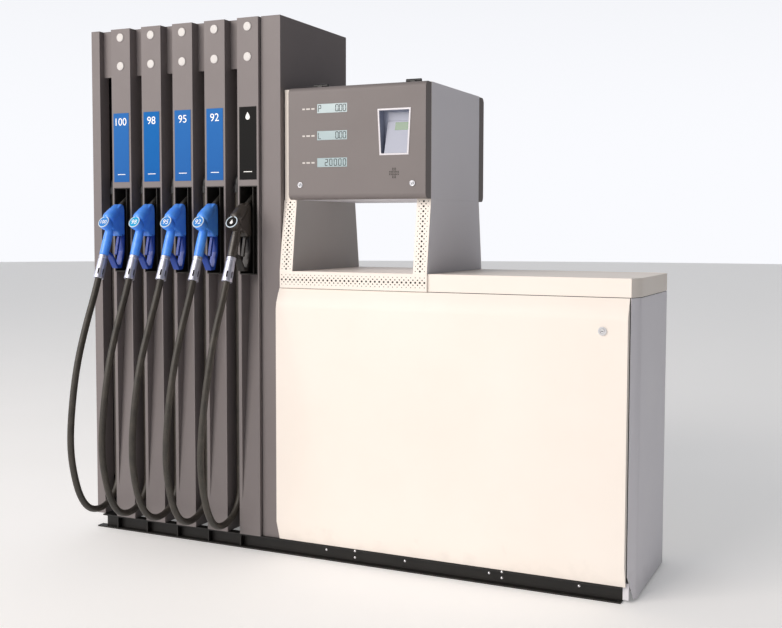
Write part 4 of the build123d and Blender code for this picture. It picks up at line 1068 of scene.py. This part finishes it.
def make_key_slots():
    """Escutcheon and key slot on each lock; the slot is a black bar of painted shade."""
    for node, (body, radius) in LOCKS.items():
        low, high = node_box(node)
        half = (high.x - low.x) / 2
        x, z = low.x + half, low.z + half
        y, out = (high.y, 1.0) if "rear" in node else (low.y, -1.0)
        bm = bmesh.new()
        add_spun(bm, [(-0.4, 0), (-0.4, radius), (1.2, radius + 1.2), (2.0, radius + 0.6),
                      (2.0, radius - 1.0), (1.0, radius - 2.2), (1.0, 0)], at(x, y, z), at(x, y + out, z))
        new_piece(f"{node}_face", bm, CHROME, body)
        bm = bmesh.new()
        near, far = sorted((y + out * SLOT_NEAR, y + out * SLOT_FAR))
        add_block(bm, (x - radius / 2, near, z - 1.0), (x + radius / 2, far, z + 1.0), 0.2)
        new_piece(f"{node}_key_slot", bm, SLOT_PAINTED_SHADE, body)


# ---------------------------------------------------------------- sheet metal
# The end panel, the right leg and the head chassis take the cream's painted-shade copy, and the left leg a
# darker painted shade.
SOFT_EDGED = {"tower_left_side": "tower", "tower_right_side": "tower", "tower_roof": "tower",
              "tower_columns": "tower", "gap_panels": "tower", "tower_back_panel": "tower",
              "cabinet_front_door": "cream", "cabinet_rear_door": "cream", "cabinet_lid": "cream",
              "cabinet_end_panel": "cream_painted_shade", "left_leg": "left_leg_painted_shade", "right_leg": "cream_painted_shade",
              "head_chassis": "cream_painted_shade", "head_front_cover": "head", "head_rear_cover": "head",
              "base_frame": "base"}


# The tower's liner and the hose outlets are painted near-black as the shade inside the tower.
PLAIN = {"tower_liner": PAINT["inner"], "perforated_fascias": PAINT["cream"],
         "cabinet_frame": PAINT["base"], "cover_hinges": PAINT["hinge"],
         "hose_outlets": PAINT["hinge"], "display_windows": DISPLAY_PANE,
         "door_hinge_pins": STEEL_PIN, "front_door_lock": CHROME, "rear_door_lock": CHROME,
         "head_lock_left": CHROME, "head_lock_right": CHROME, "pipework": PIPE_ZINC,
         "pump_units": PUMP_CASTING, "flow_meters": PUMP_CASTING, "pump_motors": MOTOR_ENAMEL}


def soften_sheets():
    """Rounds the edges of the sheet metal and the mouldings, and gives some faces a second finish. The head
    chassis gets the lit cream only on its front and rear faces; its other faces keep the painted shade.
    """
    for node, finish in SOFT_EDGED.items():
        softened(node, PAINT[finish])
    cover = bpy.data.objects["head_front_cover_softened"]
    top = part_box("head_rear_cover")[1].z
    paint_faces(cover, PAINT["hinge"], lambda place, normal: place.z > top + 0.4 * MM)
    softened("nozzle_boots", BOOT_PLASTIC, 1.0)
    reader = softened("card_reader", READER_SHELL, 1.2)
    paint_faces(reader, READER_RIM, lambda place, normal: place.y < at(0, COVER_FACE - 0.5, 0).y)
    # painted shade: the chassis's sideways faces stay greyed, and only faces turned front or rear get the
    # lit cream
    chassis = bpy.data.objects["head_chassis_softened"]
    paint_faces(chassis, PAINT["cream"], lambda place, normal: abs(normal.y) > 0.7)


# ---------------------------------------------------------------- put it together
make_camera()
make_studio()
for hose_number in range(HOSES):
    make_hose(hose_number)
    make_nozzle(hose_number)
    make_swivel(hose_number)
    make_label(hose_number)
make_caps()
make_displays()
make_display_marks()
make_reader_screen()
make_speaker()
soften_sheets()
make_perforation(True)
make_perforation(False)
make_base_screws()
make_back_screws()
make_pump_fittings()
make_key_slots()
for node_name, finish_of_node in PLAIN.items():
    finish_node(node_name, finish_of_node)
